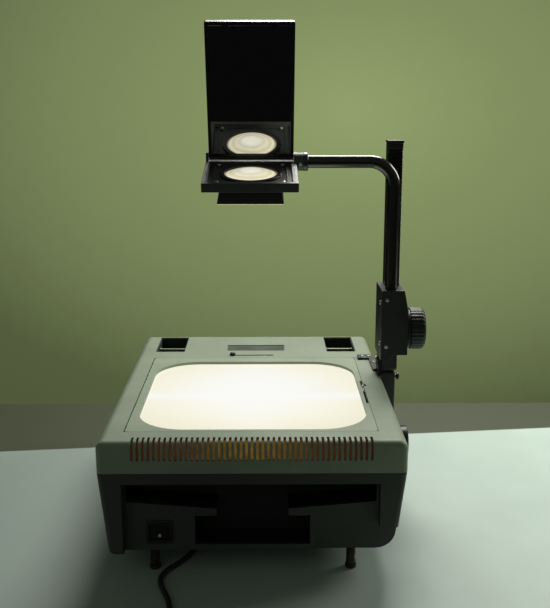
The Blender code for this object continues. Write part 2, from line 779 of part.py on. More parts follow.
def upper_housing():
    """The upper casing: the deck with its stage opening, grille, pockets, label recess and bracket notch."""
    bottom = PARTING_HEIGHT + 2 * SEAT_GAP
    outline = [(-HALF_WIDTH, bottom), (HALF_WIDTH, bottom)]
    outline += arc((HALF_WIDTH - DECK_CORNER, DECK_HEIGHT - DECK_CORNER), DECK_CORNER, 0, 90, 5)
    outline += arc((-HALF_WIDTH + DECK_CORNER, DECK_HEIGHT - DECK_CORNER), DECK_CORNER, 90, 180, 5)
    housing = plate("upper_housing", [outline], "Y", -CASE_FRONT, CASE_REAR)
    round_edges(housing, end_edges(bottom), END_ROUND)
    shell(housing, faces_along("Z", bottom), DECK_WALL)
    for side in (-1, 1):
        near, far = sorted((side * POCKET_INNER, side * POCKET_OUTER))
        well(housing, (near, POCKET_FRONT, DECK_HEIGHT - POCKET_DEPTH), (far, POCKET_REAR, DECK_HEIGHT + OVERRUN))
    well(housing, (EAR_INNER - SEAT_GAP, BRACKET_FRONT - 2 * SEAT_GAP, DECK_UNDER - OVERRUN),
         (HALF_WIDTH + OVERRUN, BRACKET_REAR + 2 * SEAT_GAP, DECK_HEIGHT + OVERRUN))
    cut(housing, block("label", (-LABEL_HALF, LABEL_FRONT, DECK_HEIGHT - LABEL_DEPTH),
                       (LABEL_HALF, LABEL_REAR, DECK_HEIGHT + OVERRUN)))
    stage = block(
        "stage_opening",
        (-LID_LEFT - LID_HINGE_GAP, -LID_FRONT - LID_GAP, DECK_UNDER - OVERRUN),
        (LID_RIGHT + LID_GAP, LID_REAR + LID_GAP, DECK_HEIGHT + OVERRUN),
    )
    cut(housing, stage)
    latch_slot = block(
        "latch_slot",
        (LID_RIGHT - OVERRUN, LATCH_Y - LATCH_WIDTH / 2 - RUN_GAP, DECK_UNDER - OVERRUN),
        (LID_RIGHT + LATCH_TRAVEL + 2 * LID_GAP, LATCH_Y + LATCH_WIDTH / 2 + RUN_GAP, DECK_HEIGHT + OVERRUN),
    )
    lever_slot = block(
        "lever_slot",
        (LEVER_START - LEVER_STEM - RUN_GAP, LEVER_Y - LEVER_STEM - RUN_GAP, DECK_UNDER - OVERRUN),
        (LEVER_START + LEVER_TRAVEL + LEVER_STEM + RUN_GAP, LEVER_Y + LEVER_STEM + RUN_GAP,
         DECK_HEIGHT + OVERRUN),
    )
    cut(housing, latch_slot, lever_slot)
    for place in (-LID_FRONT, LID_REAR):
        cut(housing, lid_pin_shape("pin_hole", place, RUN_GAP))
    cut(housing, rod("changer_hole", (HALF_WIDTH - OVERRUN, CHANGER_Y, CHANGER_HEIGHT),
                     (HALF_WIDTH + OVERRUN, CHANGER_Y, CHANGER_HEIGHT), CHANGER_SHAFT + RUN_GAP, 24))
    pitch = 2 * GRILLE_HALF / (GRILLE_SLOTS - 1)
    slot = block(
        "grille_slot",
        (-GRILLE_SLOT / 2, -CASE_FRONT - OVERRUN, DECK_HEIGHT - GRILLE_DROP),
        (GRILLE_SLOT / 2, -CASE_FRONT + GRILLE_TOP_RUN, DECK_HEIGHT + OVERRUN),
    )
    places = [-GRILLE_HALF + number * pitch for number in range(GRILLE_SLOTS)]
    cut(housing, repeated_from_zero(slot, [(place, 0, 0) for place in places]))
    FRAMES.carry("projector", CASE_GREY, housing)


def well(housing, low, high):
    """Sinks a box into the deck and gives it walls and a floor inside the housing."""
    around = Vector((DECK_WALL, DECK_WALL, DECK_WALL))
    limit = HALF_WIDTH - DECK_WALL / 2
    outer_low = Vector(low) - around
    outer_high = Vector(high) + around
    outer_high.x = min(outer_high.x, limit)
    outer_high.z = DECK_HEIGHT - DECK_WALL / 2
    join(housing, block("well_walls", outer_low, outer_high))
    cut(housing, block("well", low, high))


def lid_pin_shape(name, place, gap):
    """A stage hinge pin, half in the lid and half in the deck, or its hole."""
    reach = LID_PIN_LENGTH / 2 + gap
    x = -LID_LEFT + LID_PIN_INSET
    z = DECK_HEIGHT - LID_PIN_INSET
    return rod(name, (x, place - reach, z), (x, place + reach, z), LID_PIN_RADIUS + gap, 12)


def stage_lid():
    """The hinged frame with its glass, Fresnel lens and hinge pins."""
    outline = rounded_rectangle(-LID_LEFT, -LID_FRONT, LID_RIGHT, LID_REAR, 2 * LID_PIN_INSET, 3)
    hole = rounded_rectangle(-OPENING_HALF, -OPENING_HALF, OPENING_HALF, OPENING_HALF, OPENING_CORNER, 10)
    frame = plate("stage_frame", [outline, hole], "Z", DECK_UNDER, DECK_HEIGHT)
    cut(frame, block("finger_notch", (LID_RIGHT - NOTCH_DEPTH, -NOTCH_FRONT, DECK_UNDER - OVERRUN),
                     (LID_RIGHT + OVERRUN, NOTCH_REAR, DECK_HEIGHT + OVERRUN)))
    for name, place in (("lid_pin_front", -LID_FRONT), ("lid_pin_rear", LID_REAR)):
        cut(frame, lid_pin_shape("pin_hole", place, RUN_GAP))
        FRAMES.carry("projector", STEEL, lid_pin_shape(name, place, 0))
    FRAMES.carry("stage", CASE_GREY, frame)
    glass = block("stage_glass", (-GLASS_HALF, -GLASS_HALF, GLASS_UNDER), (GLASS_HALF, GLASS_HALF, GLASS_TOP))
    fresnel = block("fresnel_lens", (-FRESNEL_HALF, -FRESNEL_HALF, FRESNEL_UNDER),
                    (FRESNEL_HALF, FRESNEL_HALF, FRESNEL_UNDER + FRESNEL_THICK))
    FRAMES.carry("stage", CLEAR_GLASS, glass, fresnel)


def stage_latch():
    """The sprung catch whose bright tab stands in the finger slot."""
    low = LATCH_Y - LATCH_WIDTH / 2
    high = LATCH_Y + LATCH_WIDTH / 2
    tab_left = LID_RIGHT - LATCH_TAB + LID_GAP / 2
    latch = block("stage_latch", (tab_left, low, DECK_UNDER - SEAT_GAP - LATCH_DEPTH),
                  (tab_left + LATCH_TAB, high, DECK_HEIGHT))
    body = block("latch_body", (tab_left + LATCH_TAB / 2, low - LATCH_TAB, DECK_UNDER - SEAT_GAP - LATCH_DEPTH),
                 (tab_left + LATCH_BODY, high + LATCH_TAB, DECK_UNDER - SEAT_GAP))
    join(latch, body)
    FRAMES.carry("latch", STEEL, latch)


def deck_fittings():
    """The steel rods across the rear pockets, and the lever in the slot behind the stage."""
    z = DECK_HEIGHT - POCKET_DEPTH / 2
    for side, label in ((-1, "left"), (1, "right")):
        clip = rod("roll_clip_" + label, (side * (POCKET_OUTER - SEAT_GAP), ROD_Y, z),
                   (side * (POCKET_INNER + SEAT_GAP), ROD_Y, z), ROD_RADIUS, 20)
        FRAMES.carry("projector", STEEL, clip)
    lever = block("fringe_lever", (LEVER_START - LEVER_STEM, LEVER_Y - LEVER_STEM, DECK_UNDER - OVERRUN / 2),
                  (LEVER_START + LEVER_STEM, LEVER_Y + LEVER_STEM, DECK_HEIGHT + LEVER_CAP_HEIGHT / 2))
    cap = turned("cap", [(0, LEVER_CAP_HEIGHT), (LEVER_CAP * 0.7, LEVER_CAP_HEIGHT * 0.85), (LEVER_CAP, SEAT_GAP),
                         (0, SEAT_GAP)], (LEVER_START, LEVER_Y, DECK_HEIGHT), steps=20)
    shoe = block("shoe", (LEVER_START - LEVER_CAP, LEVER_Y - LEVER_CAP, DECK_UNDER - SEAT_GAP - LEVER_STEM),
                 (LEVER_START + LEVER_CAP, LEVER_Y + LEVER_CAP, DECK_UNDER - SEAT_GAP))
    join(lever, cap, shoe)
    FRAMES.carry("lever", BLACK_PLASTIC, lever)


def light_box():
    """The funnel from the condenser up to the stage, open at its top and with a round hole in its floor."""
    shape = bmesh.new()
    bmesh.ops.create_cube(shape, size=1)
    for vert in shape.verts:
        half = LIGHT_BOX_TOP if vert.co.z > 0 else LIGHT_BOX_BOTTOM
        height = FUNNEL_TOP if vert.co.z > 0 else FUNNEL_FLOOR
        vert.co = (math.copysign(half, vert.co.x), math.copysign(half, vert.co.y), height)
    funnel = piece_from("light_box", shape)
    shell(funnel, faces_along("Z", FUNNEL_TOP), LIGHT_BOX_WALL)
    cut(funnel, rod("light_hole", (0, 0, FUNNEL_FLOOR - OVERRUN), (0, 0, FUNNEL_FLOOR + OVERRUN), LIGHT_HOLE,
                    FINE_STEPS))
    FRAMES.carry("projector", BLACK_METAL, funnel)
    seat = FUNNEL_FLOOR + LIGHT_BOX_WALL + SEAT_GAP
    lens = turned("condenser_lens", dome(CONDENSER_RADIUS, CONDENSER_RISE, CONDENSER_EDGE), (0, 0, seat),
                  steps=FINE_STEPS)
    top = TUNNEL_TOP - TUNNEL_WALL - SEAT_GAP
    heat = block("heat_glass", (-HEAT_GLASS_HALF, -HEAT_GLASS_HALF, top - HEAT_GLASS_THICK),
                 (HEAT_GLASS_HALF, HEAT_GLASS_HALF, top))
    FRAMES.carry("projector", CLEAR_GLASS, lens, heat)


def dome(radius, rise, edge, steps=4):
    """The profile of a plano-convex lens standing on zero, from the top of its dome down."""
    points = []
    for step in range(steps + 1):
        across = radius * step / steps
        points.append((across, edge + rise * (1 - (across / radius) ** 2)))
    return points + [(radius, 0), (0, 0)]


def lamp_tunnel():
    """The sheet-metal tunnel round the lamps, open at both ends for the air."""
    half = TUNNEL_HALF
    inner = half - TUNNEL_WALL
    foot = FLOOR_TOP + SEAT_GAP
    ceiling = TUNNEL_TOP - TUNNEL_WALL
    outline = [(-half, foot), (-half, TUNNEL_TOP), (half, TUNNEL_TOP), (half, foot), (inner, foot),
               (inner, ceiling), (-inner, ceiling), (-inner, foot)]
    tunnel = plate("lamp_tunnel", [outline], "Y", -TUNNEL_LENGTH / 2, TUNNEL_LENGTH / 2)
    cut(tunnel, rod("light_hole", (0, 0, ceiling - OVERRUN / 2), (0, 0, TUNNEL_TOP + OVERRUN), LIGHT_HOLE,
                    FINE_STEPS))
    arm_rear = arm_place() + ARM_WIDTH / 2 + LAMP_PITCH
    cut(tunnel, block("arm_slot", (inner - OVERRUN, -TUNNEL_LENGTH / 2 - OVERRUN, TRAY_BOTTOM - 2 * RUN_GAP),
                      (half + OVERRUN, arm_rear + 2 * RUN_GAP, TRAY_BOTTOM + TRAY_THICK + 2 * RUN_GAP)))
    FRAMES.carry("projector", SHEET_METAL, tunnel)
    track = block("lamp_track", (-TRACK_HALF, -TRACK_LENGTH / 2, FLOOR_TOP + SEAT_GAP),
                  (TRACK_HALF, TRACK_LENGTH / 2, FLOOR_TOP + SEAT_GAP + TRACK_HEIGHT))
    FRAMES.carry("projector", SHEET_METAL, track)


def arm_place():
    """Where the lamp tray's arm lies: at the tray's front end, behind the changer's pinion."""
    return -LAMP_PITCH - LAMP_RADIUS - ARM_WIDTH


def lamp_tray():
    """The sliding tray: a plate for two lamps, an arm round the light box and a rack under the changer's pinion."""
    front = arm_place() - ARM_WIDTH / 2
    tray = block("lamp_tray", (-TRAY_HALF, front, TRAY_BOTTOM),
                 (TRAY_HALF, LAMP_RADIUS + TRAY_THICK, TRAY_BOTTOM + TRAY_THICK))
    arm = block("arm", (0, front, TRAY_BOTTOM), (ARM_OUTER, front + ARM_WIDTH, TRAY_BOTTOM + TRAY_THICK))
    pitch_line = CHANGER_HEIGHT - CHANGER_PITCH
    rack_low = pitch_line - 1.25 * GEAR_MODULE - CHANGER_RACK_BACK
    upright = block("upright", (ARM_OUTER - ARM_THICK, front, TRAY_BOTTOM),
                    (ARM_OUTER, front + ARM_WIDTH, rack_low + CHANGER_RACK_BACK / 2))
    pitch = math.pi * GEAR_MODULE
    count = math.ceil((LAMP_PITCH + 2 * CHANGER_PITCH) / pitch) + 1
    first = CHANGER_Y - pitch / 2 + pitch * (math.ceil(CHANGER_PITCH / pitch) + 1 - count)
    teeth = [(along, pitch_line + height) for along, height in rack_teeth(first, count)]
    rear = front + ARM_WIDTH
    outline = [(teeth[0][0] - GEAR_MODULE, rack_low), (teeth[0][0] - GEAR_MODULE, teeth[0][1])] + teeth
    outline += [(max(rear, teeth[-1][0] + GEAR_MODULE), teeth[0][1]),
                (max(rear, teeth[-1][0] + GEAR_MODULE), rack_low)]
    rack = plate("rack", [outline], "X", CHANGER_RACK_X, CHANGER_RACK_X + CHANGER_RACK_WIDTH)
    join(tray, arm, upright, rack)
    FRAMES.carry("lamp_tray", SHEET_METAL, tray)
    for name, place in (("lamp_main", 0), ("lamp_spare", -LAMP_PITCH)):
        FRAMES.carry("lamp_tray", CLEAR_GLASS, lamp(name, place))


def lamp(name, place):
    """A reflector lamp: base, bowl and the bulb inside it, as one turned shape."""
    stem = 0.28 * LAMP_HEIGHT
    bulb = 0.22 * LAMP_RADIUS
    shoulder_share = 0.62
    profile = [
        (0, 0.86 * LAMP_HEIGHT), (bulb * 0.8, 0.82 * LAMP_HEIGHT), (bulb, 0.72 * LAMP_HEIGHT),
        (bulb, stem + LAMP_BASE / 2), (LAMP_BASE * 0.9, stem + LAMP_BASE / 2),
        (LAMP_RADIUS * shoulder_share, stem + 0.3 * LAMP_HEIGHT),
        (LAMP_RADIUS * 0.93, LAMP_HEIGHT), (LAMP_RADIUS, LAMP_HEIGHT),
        (LAMP_RADIUS * (shoulder_share + 0.1), stem + 0.22 * LAMP_HEIGHT), (LAMP_BASE, stem),
        (LAMP_BASE, 0), (0, 0),
    ]
    return turned(name, profile, (0, place, TRAY_BOTTOM + TRAY_THICK + SEAT_GAP), steps=28)


def lamp_changer():
    """The pinion with its shaft, and the knob outside the right wall."""
    outline = gear_outline(CHANGER_TEETH, math.radians(-90) + math.pi / CHANGER_TEETH)
    outline = [(CHANGER_Y + across, CHANGER_HEIGHT + up) for across, up in outline]
    pinion = plate("changer_pinion", [outline], "X", CHANGER_RACK_X, CHANGER_RACK_X + CHANGER_RACK_WIDTH)
    knob_left = HALF_WIDTH + 2 * SEAT_GAP
    reach = knob_left + 0.6 * CHANGER_KNOB_DEPTH
    shaft = rod("shaft", (CHANGER_RACK_X - CHANGER_SHAFT, CHANGER_Y, CHANGER_HEIGHT),
                (reach, CHANGER_Y, CHANGER_HEIGHT), CHANGER_SHAFT, 24)
    join(pinion, shaft)
    FRAMES.carry("changer", BRASS, pinion)
    depth = CHANGER_KNOB_DEPTH
    radius = CHANGER_KNOB_RADIUS
    bore = CHANGER_SHAFT + SEAT_GAP
    hollow = reach - knob_left + SEAT_GAP
    profile = [(0, depth), (0.85 * radius, depth), (radius, 0.85 * depth), (radius, 0), (bore, 0), (bore, hollow),
               (0, hollow)]
    knob = turned("changer_knob", profile, (knob_left, CHANGER_Y, CHANGER_HEIGHT), "X", FINE_STEPS)
    FRAMES.carry("changer", BLACK_PLASTIC, knob)


def fan():
    """The square fan frame with its motor hub and struts, and the impeller in its bore."""
    rear = CASE_REAR - BASE_WALL - SEAT_GAP
    front = rear - FAN_DEPTH
    low = FAN_LOW
    middle = low + FAN_SIZE / 2
    left = FAN_X - FAN_SIZE / 2
    strut = 0.16 * FAN_DEPTH
    outline = rounded_rectangle(left, low, left + FAN_SIZE, low + FAN_SIZE, strut, 3)
    bore = arc((FAN_X, middle), FAN_BORE, 0, 360, FINE_STEPS)[:-1]
    frame = plate("fan_frame", [outline, bore], "Y", front, rear)
    bars = [
        rod("hub", (FAN_X, rear - strut, middle), (FAN_X, rear, middle), FAN_HUB, 24),
        rod("axle", (FAN_X, front + strut, middle), (FAN_X, rear - strut / 2, middle), FAN_HUB / 8, 12),
        block("across", (left + strut, rear - strut, middle - strut / 2),
              (left + FAN_SIZE - strut, rear, middle + strut / 2)),
        block("upright", (FAN_X - strut / 2, rear - strut, low + strut),
              (FAN_X + strut / 2, rear, low + FAN_SIZE - strut)),
    ]
    join(frame, *bars)
    FRAMES.carry("projector", BLACK_PLASTIC, frame)
    depth = FAN_DEPTH - 2 * strut - 2 * RUN_GAP
    hub_front = front + strut / 2
    impeller = rod("fan_impeller", (FAN_X, hub_front, middle), (FAN_X, hub_front + depth, middle), FAN_HUB, 28)
    for number in range(FAN_BLADES):
        turn = 2 * math.pi * number / FAN_BLADES
        reach = FAN_BLADE_TIP - FAN_HUB / 2
        blade = block("blade", (-BLADE_THICK / 2, -depth / 2, 0), (BLADE_THICK / 2, depth / 2, reach))
        place = Matrix.Translation((FAN_X, hub_front + depth / 2, middle)) @ Matrix.Rotation(turn, 4, "Y")
        lean = Matrix.Translation((0, 0, FAN_HUB / 2)) @ Matrix.Rotation(BLADE_PITCH, 4, "Z")
        blade.data.transform(place @ lean)
        join(impeller, blade)
    bore = rod("bore", (FAN_X, hub_front - OVERRUN, middle), (FAN_X, hub_front + depth + OVERRUN, middle),
               FAN_HUB / 8 + RUN_GAP, 16)
    cut(impeller, bore)
    FRAMES.carry("impeller", BLACK_PLASTIC, impeller)


def terminal_block():
    """The block where the cord is wired."""
    long, wide, tall = TERMINAL_SIZE
    low = FLOOR_TOP + SEAT_GAP
    piece = block("terminal_block", (TERMINAL_X - long / 2, TERMINAL_Y - wide / 2, low),
                  (TERMINAL_X + long / 2, TERMINAL_Y + wide / 2, low + tall / 2), END_ROUND / 4, 1)
    ridge = block("ridge", (TERMINAL_X - 0.42 * long, TERMINAL_Y - wide / 4, low + tall / 4),
                  (TERMINAL_X + 0.42 * long, TERMINAL_Y + wide / 4, low + tall), END_ROUND / 4, 1)
    join(piece, ridge)
    FRAMES.carry("projector", BLACK_PLASTIC, piece)


def switch():
    """The switch bezel in the fascia and its rocker."""
    gap = SEAT_GAP
    front = FASCIA_Y - SWITCH_FLANGE
    bezel = block("switch_bezel", (SWITCH_LEFT, front, SWITCH_BOTTOM), (SWITCH_RIGHT, FASCIA_Y - gap, SWITCH_TOP))
    inset = SWITCH_FLANGE + gap
    body = block("body", (SWITCH_LEFT + inset, front + gap, SWITCH_BOTTOM + inset),
                 (SWITCH_RIGHT - inset, FASCIA_Y + SWITCH_DEPTH, SWITCH_TOP - inset))
    join(bezel, body)
    well = block("well", (SWITCH_LEFT + SWITCH_FRAME, front - OVERRUN, SWITCH_BOTTOM + SWITCH_FRAME),
                 (SWITCH_RIGHT - SWITCH_FRAME, FASCIA_Y + 0.8 * SWITCH_DEPTH, SWITCH_TOP - SWITCH_FRAME))
    cut(bezel, well)
    FRAMES.carry("projector", BLACK_PLASTIC, bezel)
    half = (SWITCH_TOP - SWITCH_BOTTOM) / 2 - SWITCH_FRAME - 2 * gap
    deep = 0.55 * SWITCH_DEPTH
    dip = half * math.tan(ROCKER_TILT)
    outline = [(ROCKER_Y - dip, -half), (ROCKER_Y, 0), (ROCKER_Y - dip, half), (ROCKER_Y + dip, half),
               (ROCKER_Y + deep, half / 3), (ROCKER_Y + deep, -half / 3), (ROCKER_Y + dip, -half)]
    outline = [(across - ROCKER_Y, up) for across, up in outline]
    rocker = plate("power_rocker", [outline], "X", SWITCH_LEFT + SWITCH_FRAME + gap,
                   SWITCH_RIGHT - SWITCH_FRAME - gap)
    rocker.data.transform(Matrix.Translation((0, ROCKER_Y, SWITCH_Z)) @ Matrix.Rotation(ROCKER_TILT, 4, "X"))
    FRAMES.carry("rocker", BLACK_PLASTIC, rocker)


def legs():
    """Two screw-in front legs with rubber tips in threaded bosses, and two fixed rear feet."""
    for side, label in ((-1, "left"), (1, "right")):
        x = side * LEG_X
        boss = turned("leg_boss_" + label,
                      [(BOSS_RADIUS, BOSS_TOP), (BOSS_RADIUS, FLOOR_TOP + SEAT_GAP),
                       (STUD_RADIUS + RUN_GAP, FLOOR_TOP + SEAT_GAP), (STUD_RADIUS + RUN_GAP, BOSS_TOP)],
                      (x, LEG_Y, 0), steps=24, closed=True)
        FRAMES.carry("projector", BRASS, boss)
        shoulder = CASE_BOTTOM - SEAT_GAP
        leg = turned("front_leg_" + label,
                     [(0, STUD_TOP), (STUD_RADIUS, STUD_TOP), (STUD_RADIUS, shoulder), (LEG_RADIUS, shoulder),
                      (LEG_RADIUS, TIP_HEIGHT + SEAT_GAP), (0, TIP_HEIGHT + SEAT_GAP)], (x, LEG_Y, 0), steps=24)
        FRAMES.carry("leg_" + label, BLACK_METAL, leg)
        soft = TIP_HEIGHT / 4
        tip = turned("leg_tip_" + label,
                     [(0, TIP_HEIGHT), (TIP_RADIUS, TIP_HEIGHT), (TIP_RADIUS, soft), (TIP_RADIUS - soft, 0), (0, 0)],
                     (x, LEG_Y, 0), steps=24)
        FRAMES.carry("leg_" + label, RUBBER, tip)
        foot = turned("rear_foot_" + label,
                      [(0, shoulder), (FOOT_RADIUS, shoulder), (FOOT_RADIUS, shoulder - TIP_HEIGHT),
                       (FOOT_RADIUS - soft, soft), (FOOT_RADIUS - 2 * soft, 0), (0, 0)], (x, FOOT_Y, 0), steps=24)
        FRAMES.carry("projector", RUBBER, foot)


def post_bracket():
    """The black bracket: a block on the side wall, an ear for the pivot and a strap along the deck's edge."""
    right = POST_RIGHT - 4 * SEAT_GAP
    bracket = block("post_bracket", (HALF_WIDTH + SEAT_GAP, BRACKET_FRONT, BRACKET_BOTTOM),
                    (right, BRACKET_REAR, BRACKET_TOP), STRAP_THICK, 2)
    ear_outline = [(BRACKET_FRONT, DECK_UNDER - OVERRUN + SEAT_GAP), (BRACKET_REAR, DECK_UNDER - OVERRUN + SEAT_GAP)]
    ear_outline += arc((PIVOT_Y, PIVOT_Z), EAR_TOP - PIVOT_Z, 0, 180, 8)
    ear = plate("ear", [ear_outline], "X", EAR_INNER, HALF_WIDTH - SEAT_GAP)
    bridge = block("bridge", (EAR_INNER, BRACKET_FRONT, DECK_UNDER - OVERRUN + SEAT_GAP),
                   (HALF_WIDTH + STRAP_THICK, BRACKET_REAR, BRACKET_TOP - STRAP_THICK))
    strap_low = DECK_HEIGHT + SEAT_GAP
    strap_outline = [
        (STRAP_RIGHT, BRACKET_FRONT + STRAP_WIDTH), (STRAP_RIGHT, STRAP_REAR - 0.8 * STRAP_WIDTH),
        (STRAP_EDGE + STRAP_THICK, STRAP_REAR), (STRAP_LEFT, STRAP_REAR), (STRAP_LEFT, STRAP_REAR - STRAP_WIDTH),
        (STRAP_EDGE, STRAP_REAR - STRAP_WIDTH), (STRAP_EDGE, BRACKET_FRONT + STRAP_WIDTH),
    ]
    strap = plate("strap", [strap_outline], "Z", strap_low, strap_low + STRAP_THICK)
    join(bracket, bridge, ear, strap)
    pin_hole = rod("pin_hole", (EAR_INNER - OVERRUN, PIVOT_Y, PIVOT_Z), (POST_X, PIVOT_Y, PIVOT_Z),
                   PIVOT_RADIUS + SEAT_GAP, 24)
    button_hole = rod("button_hole", (HALF_WIDTH + BUTTON_TRAVEL, BUTTON_Y, BUTTON_Z),
                      (POST_RIGHT + OVERRUN, BUTTON_Y, BUTTON_Z), BUTTON_RADIUS / 2 + RUN_GAP, 20)
    cut(bracket, pin_hole, button_hole)
    FRAMES.carry("projector", BLACK_METAL, bracket)
    start = EAR_INNER - SEAT_GAP
    end = POST_RIGHT + SEAT_GAP
    head = PIVOT_HEAD
    thick = PIVOT_HEAD_THICK
    pin_profile = [(0, end + thick * 0.7), (head, end + thick * 0.7), (head, end), (PIVOT_RADIUS, end),
                   (PIVOT_RADIUS, start), (head, start), (head, start - thick), (0, start - thick)]
    pin = turned("pivot_pin", pin_profile, (0, PIVOT_Y, PIVOT_Z), "X", 28)
    FRAMES.carry("projector", STEEL, pin)
    head_left = right + BUTTON_TRAVEL + SEAT_GAP
    stem = BUTTON_RADIUS / 2
    inner = HALF_WIDTH + 2 * BUTTON_TRAVEL + 2 * SEAT_GAP
    button_profile = [(0, head_left + BUTTON_HEAD), (0.8 * BUTTON_RADIUS, head_left + BUTTON_HEAD),
                      (BUTTON_RADIUS, head_left + 0.7 * BUTTON_HEAD), (BUTTON_RADIUS, head_left),
                      (stem, head_left), (stem, inner), (0, inner)]
    button = turned("lock_button", button_profile, (0, BUTTON_Y, BUTTON_Z), "X", 24)
    FRAMES.carry("lock", BLACK_PLASTIC, button)


def rack_post():
    """The square post with its rack of teeth down the front, and its cap."""
    pitch = math.pi * GEAR_MODULE
    below = math.floor((FOCUS_Z - RACK_BOTTOM) / pitch)
    first_gap = FOCUS_Z - below * pitch
    count = min(RACK_TEETH, math.floor((POST_TOP - first_gap) / pitch) - 1)
    pitch_line = POST_FRONT + GEAR_MODULE
    teeth = [(pitch_line - height, along) for along, height in rack_teeth(first_gap, count)]
    toe = PIVOT_RADIUS
    outline = [(POST_REAR, POST_TOP), (POST_REAR, POST_BOTTOM + toe), (POST_REAR - toe, POST_BOTTOM),
               (POST_FRONT + toe, POST_BOTTOM), (POST_FRONT, POST_BOTTOM + toe), (POST_FRONT, teeth[0][1] - toe),
               (teeth[0][0], teeth[0][1] - toe / 2)]
    outline += teeth
    outline += [(teeth[0][0], teeth[-1][1] + toe / 2), (POST_FRONT, teeth[-1][1] + toe), (POST_FRONT, POST_TOP)]
    post = plate("rack_post", [outline], "X", POST_X, POST_RIGHT)
    cut(post, rod("pin_hole", (POST_X - OVERRUN, PIVOT_Y, PIVOT_Z), (POST_RIGHT + OVERRUN, PIVOT_Y, PIVOT_Z),
                  PIVOT_RADIUS + SEAT_GAP, 24))
    low = POST_TOP + SEAT_GAP
    cap = block("post_cap", (POST_X - POST_CAP_LIP + SEAT_GAP, POST_FRONT - POST_CAP_LIP, low),
                (POST_RIGHT + POST_CAP_LIP, POST_REAR + POST_CAP_LIP, low + POST_CAP_HEIGHT), POST_CAP_LIP, 2)
    FRAMES.carry("post", BLACK_METAL, post)
    FRAMES.carry("post", BLACK_PLASTIC, cap)


def focus_carriage():
    """The carriage that climbs the rack, with its pinion, knob and the socket of the arm tube."""
    outline = [
        (CARRIAGE_LEFT, CARRIAGE_BOTTOM), (CARRIAGE_STEP, CARRIAGE_BOTTOM), (CARRIAGE_STEP, CARRIAGE_BLOCK_BOTTOM),
        (CARRIAGE_RIGHT, CARRIAGE_BLOCK_BOTTOM), (CARRIAGE_RIGHT, CARRIAGE_BLOCK_TOP),
        (CARRIAGE_SHOULDER, CARRIAGE_TOP), (CARRIAGE_LEFT, CARRIAGE_TOP),
    ]
    carriage = plate("focus_carriage", [outline], "Y", CARRIAGE_FRONT, CARRIAGE_REAR)
    round_edges(carriage, edges_at("Y", CARRIAGE_FRONT, CARRIAGE_REAR), POST_CAP_LIP, 2)
    post_hole = block(
        "post_hole",
        (POST_X - RUN_GAP, POST_FRONT - RUN_GAP, CARRIAGE_BOTTOM - OVERRUN),
        (POST_RIGHT + RUN_GAP, POST_REAR + RUN_GAP, CARRIAGE_TOP + OVERRUN),
    )
    tube_hole = rod("tube_hole", (TUBE_X, TUBE_Y, TUBE_FOOT - SEAT_GAP), (TUBE_X, TUBE_Y, CARRIAGE_TOP + OVERRUN),
                    TUBE_RADIUS + SEAT_GAP, ROUND_STEPS)
    tip = FOCUS_PITCH + GEAR_MODULE + RUN_GAP
    gear_end = FOCUS_GEAR_X + FOCUS_GEAR_WIDTH
    gear_well = rod("gear_well", (FOCUS_GEAR_X - RUN_GAP, FOCUS_Y, FOCUS_Z), (gear_end + RUN_GAP, FOCUS_Y, FOCUS_Z),
                    tip, ROUND_STEPS)
    shaft_start = FOCUS_GEAR_X - FOCUS_SHAFT
    shaft_hole = rod("shaft_hole", (shaft_start - RUN_GAP, FOCUS_Y, FOCUS_Z),
                     (CARRIAGE_RIGHT + OVERRUN, FOCUS_Y, FOCUS_Z), FOCUS_SHAFT + RUN_GAP, 24)
    cut(carriage, post_hole, tube_hole, gear_well, shaft_hole)
    FRAMES.carry("carriage", BLACK_PLASTIC, carriage)

    gear = [(FOCUS_Y + across, FOCUS_Z + up) for across, up in gear_outline(FOCUS_TEETH, 0)]
    pinion = plate("focus_pinion", [gear], "X", FOCUS_GEAR_X, gear_end)
    shaft_end = KNOB_LEFT + FOCUS_KNOB_DEPTH / 3
    join(pinion, rod("shaft", (shaft_start, FOCUS_Y, FOCUS_Z), (shaft_end, FOCUS_Y, FOCUS_Z), FOCUS_SHAFT, 24))
    FRAMES.carry("focus", BRASS, pinion)
    focus_knob(shaft_end - KNOB_LEFT + SEAT_GAP)


def focus_knob(hollow):
    """The knob, with shallow ribs round its rim and a bore for the shaft."""
    radius = FOCUS_KNOB_RADIUS
    depth = FOCUS_KNOB_DEPTH
    bore = FOCUS_SHAFT + SEAT_GAP
    profile = [(0, depth), (0.80 * radius, depth), (0.93 * radius, 0.93 * depth), (radius, 0.80 * depth),
               (radius, 0.08 * depth), (0.96 * radius, 0), (bore, 0), (bore, hollow), (0, hollow)]
    knob = turned("focus_knob", profile, (KNOB_LEFT, FOCUS_Y, FOCUS_Z), "X", FOCUS_KNOB_RIBS * 2)
    FRAMES.carry("focus", BLACK_PLASTIC, knob)


